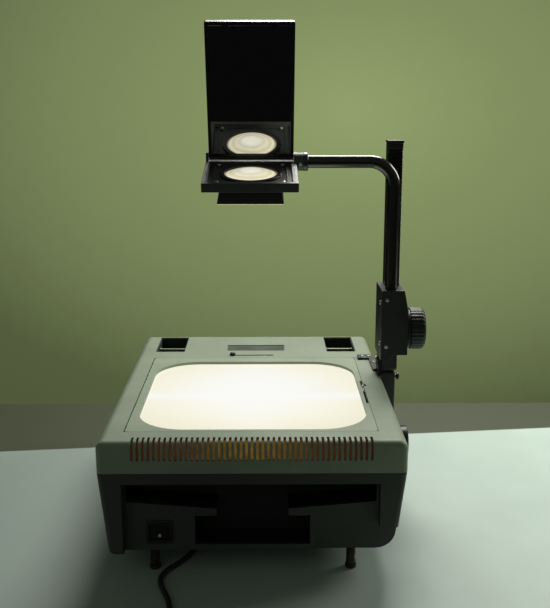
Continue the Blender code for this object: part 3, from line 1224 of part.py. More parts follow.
def arm_tube():
    """The bent tube from the carriage to the head, with the collar that holds the head on it."""
    head_right = HEAD_X + HEAD_HALF
    tube_end = head_right + 0.25 * HEAD_BARREL_LENGTH
    bend = arc((TUBE_X - TUBE_BEND, TUBE_Z - TUBE_BEND), TUBE_BEND, 0, 90, BEND_POINTS)
    route = [(TUBE_X, TUBE_FOOT)] + bend + [(tube_end, TUBE_Z)]
    curve = bpy.data.curves.new("arm_tube", "CURVE")
    curve.dimensions = "3D"
    curve.bevel_depth = TUBE_RADIUS
    curve.bevel_resolution = 5
    curve.use_fill_caps = True
    spline = curve.splines.new("POLY")
    spline.points.add(len(route) - 1)
    for point, (x, z) in zip(spline.points, route):
        point.co = (x, TUBE_Y, z, 1)
    tube = new_piece("arm_tube", curve)
    FRAMES.carry("carriage", BLACK_METAL, weld(curve_to_mesh(tube)))
    start = head_right + HEAD_BARREL_LENGTH + SEAT_GAP
    bore = TUBE_RADIUS + SEAT_GAP
    soft = COLLAR_WIDTH / 6
    collar = turned("tube_collar",
                    [(COLLAR_RADIUS - soft, COLLAR_WIDTH), (COLLAR_RADIUS, COLLAR_WIDTH - soft), (COLLAR_RADIUS, 0),
                     (bore, 0), (bore, COLLAR_WIDTH)], (start, TUBE_Y, TUBE_Z), "X", ROUND_STEPS, closed=True)
    FRAMES.carry("carriage", BLACK_METAL, collar)


def curve_to_mesh(piece):
    """Makes a curve piece a mesh piece of the same name."""
    bpy.context.view_layer.update()
    depsgraph = bpy.context.evaluated_depsgraph_get()
    mesh = bpy.data.meshes.new_from_object(piece.evaluated_get(depsgraph))
    mesh.transform(piece.matrix_world)
    name = piece.name
    bpy.data.objects.remove(piece, do_unlink=True)
    return new_piece(name, mesh)


def head():
    """The lens head: dished housing with a barrel on the tube, two lenses, ring and lower hood."""
    housing = block("head_housing", (-HEAD_HALF, HEAD_FRONT, HEAD_BOTTOM), (HEAD_HALF, HEAD_REAR, HEAD_TOP),
                    POST_CAP_LIP, 2)
    barrel_end = HEAD_HALF + HEAD_BARREL_LENGTH
    barrel = rod("barrel", (HEAD_HALF - HEAD_RIM, 0, 0), (barrel_end, 0, 0), HEAD_BARREL, ROUND_STEPS)
    ears = []
    for side in (-1, 1):
        outer = side * HEAD_HALF
        inner = side * (HEAD_HALF - HINGE_EAR)
        ear_outline = [(HINGE_Y - KNUCKLE, HEAD_BOTTOM / 2), (HINGE_Y + KNUCKLE, HEAD_BOTTOM / 2)]
        ear_outline += arc((HINGE_Y, HINGE_Z), KNUCKLE, 0, 180, 6)
        ears.append(plate("ear", [ear_outline], "X", min(outer, inner), max(outer, inner)))
    join(housing, barrel, *ears)
    dish = block("dish", (-HEAD_HALF + HEAD_RIM, HEAD_FRONT + HEAD_RIM, HEAD_TOP - HEAD_DISH),
                 (HEAD_HALF - HEAD_RIM, HEAD_REAR - 2 * HEAD_RIM, HEAD_TOP + OVERRUN))
    sweep = block("lid_room", (-HEAD_HALF + HINGE_EAR, -HEAD_BARREL - SEAT_GAP, HEAD_TOP),
                  (HEAD_HALF - HINGE_EAR, HINGE_Y + 3 * KNUCKLE, HEAD_TOP + 2 * OVERRUN))
    lens_hole = rod("lens_hole", (0, LENS_Y, HEAD_BOTTOM - OVERRUN), (0, LENS_Y, HEAD_TOP + OVERRUN),
                    LENS_RADIUS + SEAT_GAP, FINE_STEPS)
    tube_hole = rod("tube_hole", (HEAD_HALF + 0.25 * HEAD_BARREL_LENGTH - SEAT_GAP, 0, 0), (barrel_end + OVERRUN, 0, 0),
                    TUBE_RADIUS + RUN_GAP, ROUND_STEPS)
    pin_hole = rod("pin_hole", (-HEAD_HALF - OVERRUN, HINGE_Y, HINGE_Z), (HEAD_HALF + OVERRUN, HINGE_Y, HINGE_Z),
                   HINGE_PIN + RUN_GAP, 16)
    cut(housing, dish, sweep, lens_hole, tube_hole, pin_hole)
    FRAMES.carry("head", BLACK_PLASTIC, housing)
    seat = HEAD_TOP - HEAD_DISH
    upper = turned("upper_lens", dome(LENS_RADIUS, LENS_RISE, LENS_EDGE), (0, LENS_Y, seat - LENS_EDGE - SEAT_GAP),
                   steps=FINE_STEPS)
    ring_low = seat + SEAT_GAP
    ring = turned("lens_ring", [(RING_INNER, ring_low + RING_HEIGHT), (RING_OUTER, ring_low + RING_HEIGHT),
                                (RING_OUTER, ring_low), (RING_INNER, ring_low)], (0, LENS_Y, 0),
                  steps=FINE_STEPS, closed=True)
    FRAMES.carry("head", CLEAR_GLASS, upper)
    FRAMES.carry("head", BLACK_PLASTIC, ring)
    lens_hood()


def lens_hood():
    """The flared square hood under the head, with the lower lens in it."""
    top = HEAD_BOTTOM - SEAT_GAP
    bottom = top - HOOD_HEIGHT
    shape = bmesh.new()
    bmesh.ops.create_cube(shape, size=1)
    for vert in shape.verts:
        upper = vert.co.z > 0
        half = HOOD_TOP_HALF if upper else HOOD_BOTTOM_HALF
        vert.co = (math.copysign(half, vert.co.x), LENS_Y + math.copysign(half, vert.co.y), top if upper else bottom)
    hood = piece_from("lens_hood", shape)
    shell(hood, faces_along("Z", bottom), HOOD_WALL)
    cut(hood, rod("hood_hole", (0, LENS_Y, bottom), (0, LENS_Y, top + OVERRUN), HOOD_HOLE, FINE_STEPS))
    FRAMES.carry("head", BLACK_PLASTIC, hood)
    lens = turned("lower_lens", dome(LENS_RADIUS, LOWER_LENS_DROP, LOWER_LENS_EDGE), (0, 0, 0), steps=FINE_STEPS)
    lens.data.transform(Matrix.Translation((0, LENS_Y, top - HOOD_WALL - SEAT_GAP)) @ Matrix.Rotation(math.pi, 4, "X"))
    FRAMES.carry("head", CLEAR_GLASS, lens)


def mirror_lid():
    """The lid that carries the mirror, with its knuckle and pin."""
    outline = rounded_rectangle(-LID_HALF, -KNUCKLE / 2, LID_HALF, LID_TOP, KNUCKLE / 2, 3)
    lid = plate("mirror_lid", [outline], "Y", LID_FACE, LID_BACK)
    knuckle = rod("knuckle", (-LID_HALF, 0, 0), (LID_HALF, 0, 0), KNUCKLE, 24)
    join(lid, knuckle)
    bed = block("bed", (-MIRROR_HALF - SEAT_GAP, LID_FACE - OVERRUN, MIRROR_FOOT - SEAT_GAP),
                (MIRROR_HALF + SEAT_GAP, LID_FACE + MIRROR_THICK + 2 * SEAT_GAP, MIRROR_HEAD + SEAT_GAP))
    bore = rod("bore", (-LID_HALF - OVERRUN, 0, 0), (LID_HALF + OVERRUN, 0, 0), HINGE_PIN + RUN_GAP, 16)
    cut(lid, bed, bore)
    FRAMES.carry("mirror", BLACK_PLASTIC, lid)
    face = LID_FACE + SEAT_GAP
    mirror = block("mirror", (-MIRROR_HALF, face, MIRROR_FOOT), (MIRROR_HALF, face + MIRROR_THICK, MIRROR_HEAD))
    FRAMES.carry("mirror", MIRROR_GLASS, mirror)
    pin = rod("mirror_pin", (-HEAD_HALF, HINGE_Y, HINGE_Z), (HEAD_HALF, HINGE_Y, HINGE_Z), HINGE_PIN, 16)
    FRAMES.carry("head", STEEL, pin)


# The cord's route from the end of its gland: out of the rear wall, down, round and forward under the casing.
CORD_ROUTE = [
    (-0.0600, 0.3255, 0.0520), (-0.0600, 0.3370, 0.0500), (-0.0620, 0.3520, 0.0385), (-0.0665, 0.3660, 0.0195),
    (-0.0730, 0.3760, 0.0070), (-0.0830, 0.3830, 0.0036), (-0.0960, 0.3850, 0.0036), (-0.1080, 0.3790, 0.0036),
    (-0.1150, 0.3660, 0.0036), (-0.1130, 0.3500, 0.0036), (-0.1030, 0.3200, 0.0036), (-0.0860, 0.2700, 0.0036),
    (-0.0700, 0.2000, 0.0036), (-0.0620, 0.1200, 0.0036), (-0.0600, 0.0400, 0.0036), (-0.0620, -0.0400, 0.0036),
    (-0.0700, -0.1000, 0.0036), (-0.0840, -0.1390, 0.0036), (-0.0960, -0.1570, 0.0036), (-0.1060, -0.1710, 0.0036),
    (-0.1105, -0.1860, 0.0036), (-0.1080, -0.2020, 0.0036), (-0.1010, -0.2200, 0.0036), (-0.0940, -0.2400, 0.0036),
    (-0.0905, -0.2650, 0.0036), (-0.0915, -0.2880, 0.0050), (-0.0932, -0.3070, 0.0070),
]


def smooth_route(points, spacing):
    """Points at even spacing along the smooth curve through the route's points."""
    knots = [Vector(point) for point in points]
    knots = [2 * knots[0] - knots[1]] + knots + [2 * knots[-1] - knots[-2]]
    dense = []
    for i in range(1, len(knots) - 2):
        a, b, c, d = knots[i - 1 : i + 3]
        for step in range(20):
            t = step / 20
            dense.append(
                0.5 * (2 * b + (c - a) * t + (2 * a - 5 * b + 4 * c - d) * t**2 + (3 * b - a - 3 * c + d) * t**3)
            )
    dense.append(knots[-2])
    even = [dense[0]]
    walked = 0.0
    for before, after in zip(dense, dense[1:]):
        walked += (after - before).length
        if walked >= spacing:
            even.append(after)
            walked = 0.0
    if (even[-1] - dense[-1]).length > spacing / 2:
        even.append(dense[-1])
    else:
        even[-1] = dense[-1]
    return even


def power_cord():
    """The gland, the free stretch of the cord, its stored coil and the plug beside it."""
    wall = CASE_REAR
    flange_share = 0.12
    profile = [
        (0, GLAND_LENGTH), (CORD_RADIUS + 2 * SEAT_GAP, GLAND_LENGTH), (GLAND_RADIUS, GLAND_LENGTH * 2 * flange_share),
        (GLAND_FLANGE, GLAND_LENGTH * 2 * flange_share), (GLAND_FLANGE, SEAT_GAP), (GLAND_RADIUS, SEAT_GAP),
        (GLAND_RADIUS, -BASE_WALL - SEAT_GAP), (0, -BASE_WALL - SEAT_GAP),
    ]
    gland = turned("cord_gland", profile, (CORD_X, wall, CORD_Z), "Y", 24)
    FRAMES.carry("projector", RUBBER, gland)
    curve = bpy.data.curves.new("power_cord", "CURVE")
    curve.dimensions = "3D"
    curve.bevel_depth = CORD_RADIUS
    curve.bevel_resolution = CORD_BEVEL
    curve.use_fill_caps = True
    points = smooth_route(CORD_ROUTE, 5 * CORD_RADIUS)
    spline = curve.splines.new("POLY")
    spline.points.add(len(points) - 1)
    for point, place in zip(spline.points, points):
        point.co = (*place, 1)
    cord = new_piece("power_cord", curve)
    FRAMES.carry("projector", RUBBER, weld(curve_to_mesh(cord)))
    height = 2 * COIL_HALF
    outer = COIL_MEAN + COIL_HALF
    inner = COIL_MEAN - COIL_HALF
    soft = COIL_ROUND
    ring = [(inner + soft, height), (outer - soft, height), (outer, height - soft), (outer, soft), (outer - soft, 0),
            (inner + soft, 0), (inner, soft), (inner, height - soft)]
    coil = turned("cord_coil", ring, (COIL_X, COIL_Y, SEAT_GAP), steps=FINE_STEPS, closed=True)
    FRAMES.carry("projector", RUBBER, coil)
    FRAMES.carry("projector", RUBBER, plug())


def plug():
    """A two-pin plug with an earth pin, its tail against the coil."""
    start = PLUG_X
    z = PLUG_HALF_HEIGHT + SEAT_GAP
    body_start = start + PLUG_TAIL
    tail = rod("plug", (start, PLUG_Y, z), (body_start + PLUG_TAIL / 2, PLUG_Y, z), PLUG_TAIL_RADIUS, 20)
    body = block("body", (body_start, PLUG_Y - PLUG_HALF_WIDTH, z - PLUG_HALF_HEIGHT),
                 (start + PLUG_LENGTH, PLUG_Y + PLUG_HALF_WIDTH, z + PLUG_HALF_HEIGHT), PLUG_TAIL_RADIUS / 2, 2)
    prongs = []
    for side in (-1, 1):
        middle = PLUG_Y + side * PRONG_GAP
        prongs.append(block("prong", (start + PLUG_LENGTH - PLUG_TAIL / 2, middle - PRONG_THICK / 2, z - PRONG_HALF),
                            (start + PLUG_LENGTH + PRONG_LENGTH, middle + PRONG_THICK / 2, z + PRONG_HALF)))
    earth = rod("earth", (start + PLUG_LENGTH - PLUG_TAIL / 2, PLUG_Y, z + PRONG_HALF),
                (start + PLUG_LENGTH + PRONG_LENGTH, PLUG_Y, z + PRONG_HALF), PRONG_HALF * 0.75, 12)
    return join(tail, body, *prongs, earth)


base_housing()
recess_liner()
upper_housing()
stage_lid()
stage_latch()
deck_fittings()
light_box()
lamp_tunnel()
lamp_tray()
lamp_changer()
fan()
terminal_block()
switch()
legs()
post_bracket()
rack_post()
focus_carriage()
arm_tube()
head()
mirror_lid()
power_cord()
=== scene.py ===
"""Overhead projector: the surfaces, materials, cord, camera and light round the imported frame."""

import json
import math

import bpy
from bpy.props import FloatProperty, FloatVectorProperty, IntProperty, PointerProperty
from mathutils import Matrix, Vector

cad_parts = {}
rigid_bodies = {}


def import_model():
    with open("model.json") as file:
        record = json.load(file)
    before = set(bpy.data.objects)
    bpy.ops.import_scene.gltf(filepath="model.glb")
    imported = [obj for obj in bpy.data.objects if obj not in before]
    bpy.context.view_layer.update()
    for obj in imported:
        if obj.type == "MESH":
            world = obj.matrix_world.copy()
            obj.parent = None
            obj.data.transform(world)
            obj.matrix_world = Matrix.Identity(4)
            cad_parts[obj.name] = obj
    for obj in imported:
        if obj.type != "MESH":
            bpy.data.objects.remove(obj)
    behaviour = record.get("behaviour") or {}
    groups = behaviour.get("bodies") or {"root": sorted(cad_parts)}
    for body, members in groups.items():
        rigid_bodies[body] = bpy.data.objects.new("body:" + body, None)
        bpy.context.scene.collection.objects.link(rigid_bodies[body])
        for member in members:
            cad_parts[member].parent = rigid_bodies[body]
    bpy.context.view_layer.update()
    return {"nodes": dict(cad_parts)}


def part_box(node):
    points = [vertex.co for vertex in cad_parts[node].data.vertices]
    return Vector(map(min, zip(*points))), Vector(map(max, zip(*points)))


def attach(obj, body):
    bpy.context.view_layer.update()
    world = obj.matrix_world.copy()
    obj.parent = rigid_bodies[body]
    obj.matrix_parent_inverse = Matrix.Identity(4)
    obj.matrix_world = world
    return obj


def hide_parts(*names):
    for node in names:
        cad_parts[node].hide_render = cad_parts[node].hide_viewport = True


bl_info = {
    "name": "Overhead Projector",
    "version": (1, 0, 0),
    "blender": (4, 5, 0),
    "location": "View3D > Sidebar > Projector",
    "description": "Builds an overhead projector piece by piece round its packed frame",
    "category": "Object",
}

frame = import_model()

# The frame's places: the middle of the stage opening and the turn of the head and of its mirror lid
SHIFT_X = -0.0278
SHIFT_Y = -0.0555
HEAD_TILT = math.radians(11)
MIRROR_TILT = math.radians(19)
TUBE_AXIS = Vector((-0.0028 + SHIFT_X, 0.0475 + SHIFT_Y, 0.478))
MIRROR_HINGE_Y = 0.004
MIRROR_HINGE_Z = 0.008
MERGE = 0.00002
FLAT = math.radians(0.5)
SOFT_STEPS = 2
FINE_EDGE = 0.0003
SMALL_EDGE = 0.0004
MIDDLE_EDGE = 0.0005
BODY_EDGE = 0.0006
FRAME_EDGE = 0.0007
BROAD_EDGE = 0.0008
ROUND_EDGE = 0.0010
SMOOTH_ANGLE = math.radians(34)


def middle_of_stage(x, y, z):
    """A place measured from the middle of the stage opening, in the frame's own measure."""
    return Vector((x + SHIFT_X, y + SHIFT_Y, z))


class ProjectorSizes(bpy.types.PropertyGroup):
    """Sizes that a user may change."""

    edge_softness: FloatProperty(
        name="Edge softness", description="Rounding of moulded edges", default=0.0005, unit="LENGTH"
    )
    knob_flutes: IntProperty(name="Knob flutes", description="Grip flutes round the focus knob", default=30)
    knob_flute_depth: FloatProperty(
        name="Flute depth", description="Depth of the focus knob's flutes", default=0.0007, unit="LENGTH"
    )
    cord_diameter: FloatProperty(
        name="Cord diameter", description="Diameter of the mains lead", default=0.0065, unit="LENGTH"
    )
    thread_turns: IntProperty(name="Leg threads", description="Turns of thread shown on a leg", default=9)
    screw_head: FloatProperty(
        name="Screw head", description="Radius of a casing screw's head", default=0.0028, unit="LENGTH"
    )


class ProjectorColours(bpy.types.PropertyGroup):
    """Colours that a user may change."""

    deck: FloatVectorProperty(
        name="Deck",
        description="Upper casing and stage frame",
        subtype="COLOR",
        default=(0.235, 0.285, 0.205),
    )
    base: FloatVectorProperty(
        name="Base",
        description="Lower casing",
        subtype="COLOR",
        default=(0.042, 0.049, 0.041),
    )
    black: FloatVectorProperty(
        name="Black parts",
        description="Head, knobs and carriage",
        subtype="COLOR",
        default=(0.011, 0.012, 0.011),
    )
    enamel: FloatVectorProperty(
        name="Black enamel",
        description="Post and arm tube",
        subtype="COLOR",
        default=(0.014, 0.013, 0.011),
    )
    lamp_light: FloatVectorProperty(
        name="Lamp light",
        description="Light through stage and lenses",
        subtype="COLOR",
        default=(1.0, 0.965, 0.80),
    )
    glow: FloatVectorProperty(
        name="Warm glow",
        description="Stray lamp light in the casing",
        subtype="COLOR",
        default=(0.34, 0.20, 0.030),
    )
    floor: FloatVectorProperty(
        name="Floor",
        description="Floor under the projector",
        subtype="COLOR",
        default=(0.46, 0.56, 0.50),
    )
    backdrop: FloatVectorProperty(
        name="Backdrop",
        description="Background above the floor",
        subtype="COLOR",
        default=(0.283, 0.352, 0.150),
    )


def sizes():
    """The sizes in use."""
    return bpy.context.scene.projector_sizes


def colours():
    """The colours in use."""
    return bpy.context.scene.projector_colours


# Modelling helpers


def deselect():
    """Leaves nothing selected, in object mode."""
    if bpy.context.object and bpy.context.object.mode != "OBJECT":
        bpy.ops.object.mode_set(mode="OBJECT")
    bpy.ops.object.select_all(action="DESELECT")


def only(piece):
    """Selects one piece and makes it active."""
    deselect()
    piece.select_set(True)
    bpy.context.view_layer.objects.active = piece
    return piece


def named(name):
    """Names the active object and its mesh."""
    piece = bpy.context.object
    piece.name = name
    piece.data.name = name
    return piece


def place_down(piece):
    """Moves a piece's place, turn and scale into its mesh."""
    only(piece)
    bpy.ops.object.transform_apply(location=True, rotation=True, scale=True)
    return piece


def bar(name, low, high, softness=0.0, steps=SOFT_STEPS, turn=None):
    """A box between two corners, bevelled in edit mode and turned into place."""
    deselect()
    middle = (Vector(low) + Vector(high)) / 2
    bpy.ops.mesh.primitive_cube_add(size=1, location=middle, scale=Vector(high) - Vector(low))
    piece = named(name)
    place_down(piece)
    if softness:
        bpy.ops.object.mode_set(mode="EDIT")
        bpy.ops.mesh.select_all(action="SELECT")
        bpy.ops.mesh.bevel(offset=softness, segments=steps, affect="EDGES")
        bpy.ops.object.mode_set(mode="OBJECT")
    if turn:
        piece.data.transform(turn)
    return piece


def lathe(name, rings, turn=None, steps=48):
    """A round piece drawn up from a circle: each (radius, height) ring is extruded from the last."""
    deselect()
    radius, height = rings[0]
    bpy.ops.mesh.primitive_circle_add(
        vertices=steps, radius=radius, fill_type="NGON", location=(0, 0, height)
    )
    piece = named(name)
    place_down(piece)
    bpy.ops.object.mode_set(mode="EDIT")
    bpy.ops.mesh.select_all(action="SELECT")
    for next_radius, next_height in rings[1:]:
        bpy.ops.mesh.extrude_region_move(TRANSFORM_OT_translate={"value": (0, 0, next_height - height)})
        share = next_radius / radius
        bpy.ops.transform.resize(value=(share, share, 1), center_override=(0, 0, next_height))
        radius, height = next_radius, next_height
    bpy.ops.mesh.select_all(action="SELECT")
    bpy.ops.mesh.remove_doubles(threshold=MERGE)
    bpy.ops.mesh.normals_make_consistent(inside=False)
    bpy.ops.object.mode_set(mode="OBJECT")
    if turn:
        piece.data.transform(turn)
    return piece


def ring(name, outer, inner, low, high, softness=0.0, turn=None, steps=48):
    """A flat ring: a disc inset, its middle dropped through and bridged."""
    deselect()
    bpy.ops.mesh.primitive_cylinder_add(
        vertices=steps, radius=outer, depth=high - low, location=(0, 0, (low + high) / 2)
    )
    piece = named(name)
    place_down(piece)
    bpy.ops.object.mode_set(mode="EDIT")
    bpy.ops.mesh.select_all(action="DESELECT")
    bpy.ops.object.mode_set(mode="OBJECT")
    for face in piece.data.polygons:
        face.select = abs(face.normal.z) > 0.9
    bpy.ops.object.mode_set(mode="EDIT")
    bpy.ops.mesh.inset(thickness=outer - inner, use_individual=True)
    bpy.ops.mesh.bridge_edge_loops()
    if softness:
        bpy.ops.mesh.select_all(action="DESELECT")
        bpy.ops.mesh.edges_select_sharp(sharpness=math.radians(60))
        bpy.ops.mesh.bevel(offset=softness, segments=SOFT_STEPS, affect="EDGES")
    bpy.ops.mesh.select_all(action="SELECT")
    bpy.ops.mesh.normals_make_consistent(inside=False)
    bpy.ops.object.mode_set(mode="OBJECT")
    if turn:
        piece.data.transform(turn)
    return piece


def along_x(place):
    """Turns a shape's own Z to +X and sets its origin at a place."""
    return Matrix.Translation(place) @ Matrix.Rotation(math.radians(90), 4, "Y")


def along_front(place):
    """Turns a shape's own Z to the front, -Y, and sets its origin at a place."""
    return Matrix.Translation(place) @ Matrix.Rotation(math.radians(90), 4, "X")


def along_rear(place):
    """Turns a shape's own Z to the rear, +Y, and sets its origin at a place."""
    return Matrix.Translation(place) @ Matrix.Rotation(math.radians(-90), 4, "X")


def in_head():
    """The head's own frame: origin on the tube's axis, leaning forward."""
    return Matrix.Translation(TUBE_AXIS) @ Matrix.Rotation(HEAD_TILT, 4, "X")


def in_mirror_lid():
    """The mirror lid's own frame: origin on its hinge, Z up the lid."""
    hinge = Matrix.Translation((0, MIRROR_HINGE_Y, MIRROR_HINGE_Z))
    return in_head() @ hinge @ Matrix.Rotation(MIRROR_TILT - HEAD_TILT, 4, "X")


def cut_out(piece, cutter):
    """Takes one piece's shape out of another and removes the cutter."""
    boolean = piece.modifiers.new("cut", "BOOLEAN")
    boolean.object = cutter
    boolean.operation = "DIFFERENCE"
    boolean.solver = "EXACT"
    only(piece)
    bpy.ops.object.modifier_apply(modifier=boolean.name)
    bpy.data.objects.remove(cutter, do_unlink=True)
    return piece


def merged(name, pieces):
    """Joins several pieces into one mesh."""
    deselect()
    for piece in pieces:
        piece.select_set(True)
    bpy.context.view_layer.objects.active = pieces[0]
    bpy.ops.object.join()
    return named(name)


def soften(piece, width, angle=math.radians(35)):
    """Rounds a piece's sharp edges with a Bevel modifier that is applied."""
    bevel = piece.modifiers.new("soft", "BEVEL")
    bevel.width = width
    bevel.segments = SOFT_STEPS
    bevel.limit_method = "ANGLE"
    bevel.angle_limit = angle
    bevel.miter_outer = "MITER_ARC"
    only(piece)
    bpy.ops.object.modifier_apply(modifier=bevel.name)
    return piece


def copy_of_node(node, name, softness=0.0):
    """A merged copy of a frame node, its flat triangles paired and its edges softened."""
    deselect()
    original = frame["nodes"][node]
    original.hide_set(False)
    original.select_set(True)
    bpy.context.view_layer.objects.active = original
    bpy.ops.object.duplicate()
    piece = named(name)
    bpy.ops.object.parent_clear(type="CLEAR_KEEP_TRANSFORM")
    place_down(piece)
    piece.data.materials.clear()
    bpy.ops.object.mode_set(mode="EDIT")
    bpy.ops.mesh.select_all(action="SELECT")
    bpy.ops.mesh.remove_doubles(threshold=MERGE)
    bpy.ops.mesh.tris_convert_to_quads(face_threshold=FLAT, shape_threshold=math.pi)
    bpy.ops.object.mode_set(mode="OBJECT")
    if softness:
        soften(piece, softness)
    return piece


def finish(piece, material, body, *nodes, smooth=SMOOTH_ANGLE):
    """Shades a piece, gives it its material, hangs it on its body and lets it stand for its nodes."""
    only(piece)
    bpy.ops.object.shade_smooth_by_angle(angle=smooth)
    if piece.type == "MESH":
        even_shading(piece)
    piece.data.materials.clear()
    piece.data.materials.append(material)
    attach(piece, body)
    if nodes:
        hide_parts(*nodes)
    return piece


def even_shading(piece):
    """Lets large flat faces set the shading of the rounded edges beside them."""
    weighted = piece.modifiers.new("weighted", "WEIGHTED_NORMAL")
    weighted.keep_sharp = True
    weighted.weight = 100
    only(piece)
    bpy.ops.object.modifier_apply(modifier=weighted.name)


def dress(node, material, body, softness=None):
    """A softened copy of a node that stands for it."""
    width = sizes().edge_softness if softness is None else softness
    return finish(copy_of_node(node, node + "_dressed", width), material, body, node)


def coat(material, *nodes):
    """Gives frame nodes a material where their own shape is right."""
    for node in nodes:
        piece = frame["nodes"][node]
        piece.data.materials.clear()
        piece.data.materials.append(material)


# Material helpers


def blank_material(name):
    """A material with its shader, node tree and the object's own coordinates."""
    material = bpy.data.materials.new(name)
    material.use_nodes = True
    tree = material.node_tree
    shader = tree.nodes["Principled BSDF"]
    coordinates = tree.nodes.new("ShaderNodeTexCoord")
    return material, tree, shader, coordinates.outputs["Object"]


def noise(tree, coordinates, scale, detail=3.0, roughness=0.5):
    """A noise texture's value."""
    texture = tree.nodes.new("ShaderNodeTexNoise")
    texture.inputs["Scale"].default_value = scale
    texture.inputs["Detail"].default_value = detail
    texture.inputs["Roughness"].default_value = roughness
    tree.links.new(coordinates, texture.inputs["Vector"])
    return texture.outputs["Fac"]


def ramp(tree, value, stops):
    """A colour ramp over a value; stops are (place, colour)."""
    node = tree.nodes.new("ShaderNodeValToRGB")
    while len(node.color_ramp.elements) < len(stops):
        node.color_ramp.elements.new(0.5)
    for element, (place, colour) in zip(node.color_ramp.elements, stops):
        element.position = place
        element.color = (*colour, 1)
    tree.links.new(value, node.inputs["Fac"])
    return node.outputs["Color"]


def spread(tree, value, low, high, start=0.0, end=1.0):
    """Maps a value between two limits."""
    node = tree.nodes.new("ShaderNodeMapRange")
    node.inputs["From Min"].default_value = start
    node.inputs["From Max"].default_value = end
    node.inputs["To Min"].default_value = low
    node.inputs["To Max"].default_value = high
    tree.links.new(value, node.inputs["Value"])
    return node.outputs["Result"]


def bump(tree, shader, height, strength, distance):
    """Raises the surface by a height."""
    node = tree.nodes.new("ShaderNodeBump")
    node.inputs["Strength"].default_value = strength
    node.inputs["Distance"].default_value = distance
    tree.links.new(height, node.inputs["Height"])
    tree.links.new(node.outputs["Normal"], shader.inputs["Normal"])
    return node


def scaled(colour, share):
    """A colour made lighter or darker."""
    return tuple(min(1.0, part * share) for part in colour)


def distance_from(tree, coordinates, place, stretch=(1, 1, 1)):
    """Distance of each point from a place, with the axes stretched."""
    mapping = tree.nodes.new("ShaderNodeMapping")
    mapping.vector_type = "POINT"
    mapping.inputs["Location"].default_value = [-part * grow for part, grow in zip(place, stretch)]
    mapping.inputs["Scale"].default_value = stretch
    tree.links.new(coordinates, mapping.inputs["Vector"])
    length = tree.nodes.new("ShaderNodeVectorMath")
    length.operation = "LENGTH"
    tree.links.new(mapping.outputs["Vector"], length.inputs[0])
    return length.outputs["Value"]


def moulded_plastic(name, colour, roughness=0.52, grain=1500.0, depth=0.00012, strength=0.35, dust=0.10):
    """Textured moulded plastic: fine spark-eroded grain, soft mottling and patches polished by hands."""
    material, tree, shader, place = blank_material(name)
    mottling = noise(tree, place, 16.0, 5.0, 0.6)
    stops = [(0.25, scaled(colour, 1 - dust)), (0.5, colour), (0.78, scaled(colour, 1 + dust))]
    tree.links.new(ramp(tree, mottling, stops), shader.inputs["Base Color"])
    rubbed = noise(tree, place, 34.0, 4.0, 0.65)
    sheen = spread(tree, rubbed, roughness - 0.07, roughness + 0.08, 0.3, 0.7)
    tree.links.new(sheen, shader.inputs["Roughness"])
    bump(tree, shader, noise(tree, place, grain, 2.0), strength, depth)
    shader.inputs["Specular IOR Level"].default_value = 0.42
    return material


def enamel(name, colour, roughness=0.28, coat_weight=0.35):
    """Stoved enamel on steel: a faint orange peel, a clear gloss and a few rubbed places."""
    material, tree, shader, place = blank_material(name)
    worn = noise(tree, place, 55.0, 6.0, 0.7)
    stops = [(0.0, colour), (0.66, colour), (0.80, scaled(colour, 1.9))]
    tree.links.new(ramp(tree, worn, stops), shader.inputs["Base Color"])
    tree.links.new(spread(tree, worn, roughness, roughness + 0.14, 0.4, 0.75), shader.inputs["Roughness"])
    bump(tree, shader, noise(tree, place, 420.0, 1.0), 0.12, 0.0002)
    shader.inputs["Coat Weight"].default_value = coat_weight
    shader.inputs["Coat Roughness"].default_value = 0.16
    return material


def bare_metal(name, colour, roughness=0.3, brushing=(60.0, 60.0, 1200.0), streak=0.12):
    """Machined, drawn or rolled metal, with streaks along one axis."""
    material, tree, shader, place = blank_material(name)
    mapping = tree.nodes.new("ShaderNodeMapping")
    mapping.inputs["Scale"].default_value = brushing
    tree.links.new(place, mapping.inputs["Vector"])
    lines = noise(tree, mapping.outputs["Vector"], 1.0, 4.0, 0.6)
    stops = [(0.3, scaled(colour, 1 - streak)), (0.7, colour)]
    tree.links.new(ramp(tree, lines, stops), shader.inputs["Base Color"])
    tree.links.new(spread(tree, lines, roughness, roughness + 0.15), shader.inputs["Roughness"])
    bump(tree, shader, lines, 0.10, 0.0001)
    shader.inputs["Metallic"].default_value = 1.0
    return material


def soft_rubber(name, colour=(0.012, 0.012, 0.012), roughness=0.62):
    """Rubber or a soft cord sheath: dull, with a fine skin and a bloom of dust."""
    material, tree, shader, place = blank_material(name)
    bloom = noise(tree, place, 70.0, 5.0, 0.7)
    stops = [(0.35, colour), (0.7, scaled(colour, 1.7))]
    tree.links.new(ramp(tree, bloom, stops), shader.inputs["Base Color"])
    tree.links.new(spread(tree, bloom, roughness - 0.08, roughness + 0.12), shader.inputs["Roughness"])
    bump(tree, shader, noise(tree, place, 2400.0, 2.0), 0.25, 0.0001)
    return material


def clear_glass(name, tint=(0.93, 0.97, 0.93), roughness=0.02):
    """Clear glass with a faint tint and a little dust."""
    material, tree, shader, place = blank_material(name)
    dust = noise(tree, place, 120.0, 5.0, 0.7)
    tree.links.new(spread(tree, dust, roughness, roughness + 0.06, 0.45, 0.8), shader.inputs["Roughness"])
    shader.inputs["Base Color"].default_value = (*tint, 1)
    shader.inputs["Transmission Weight"].default_value = 0.9
    shader.inputs["IOR"].default_value = 1.5
    return material


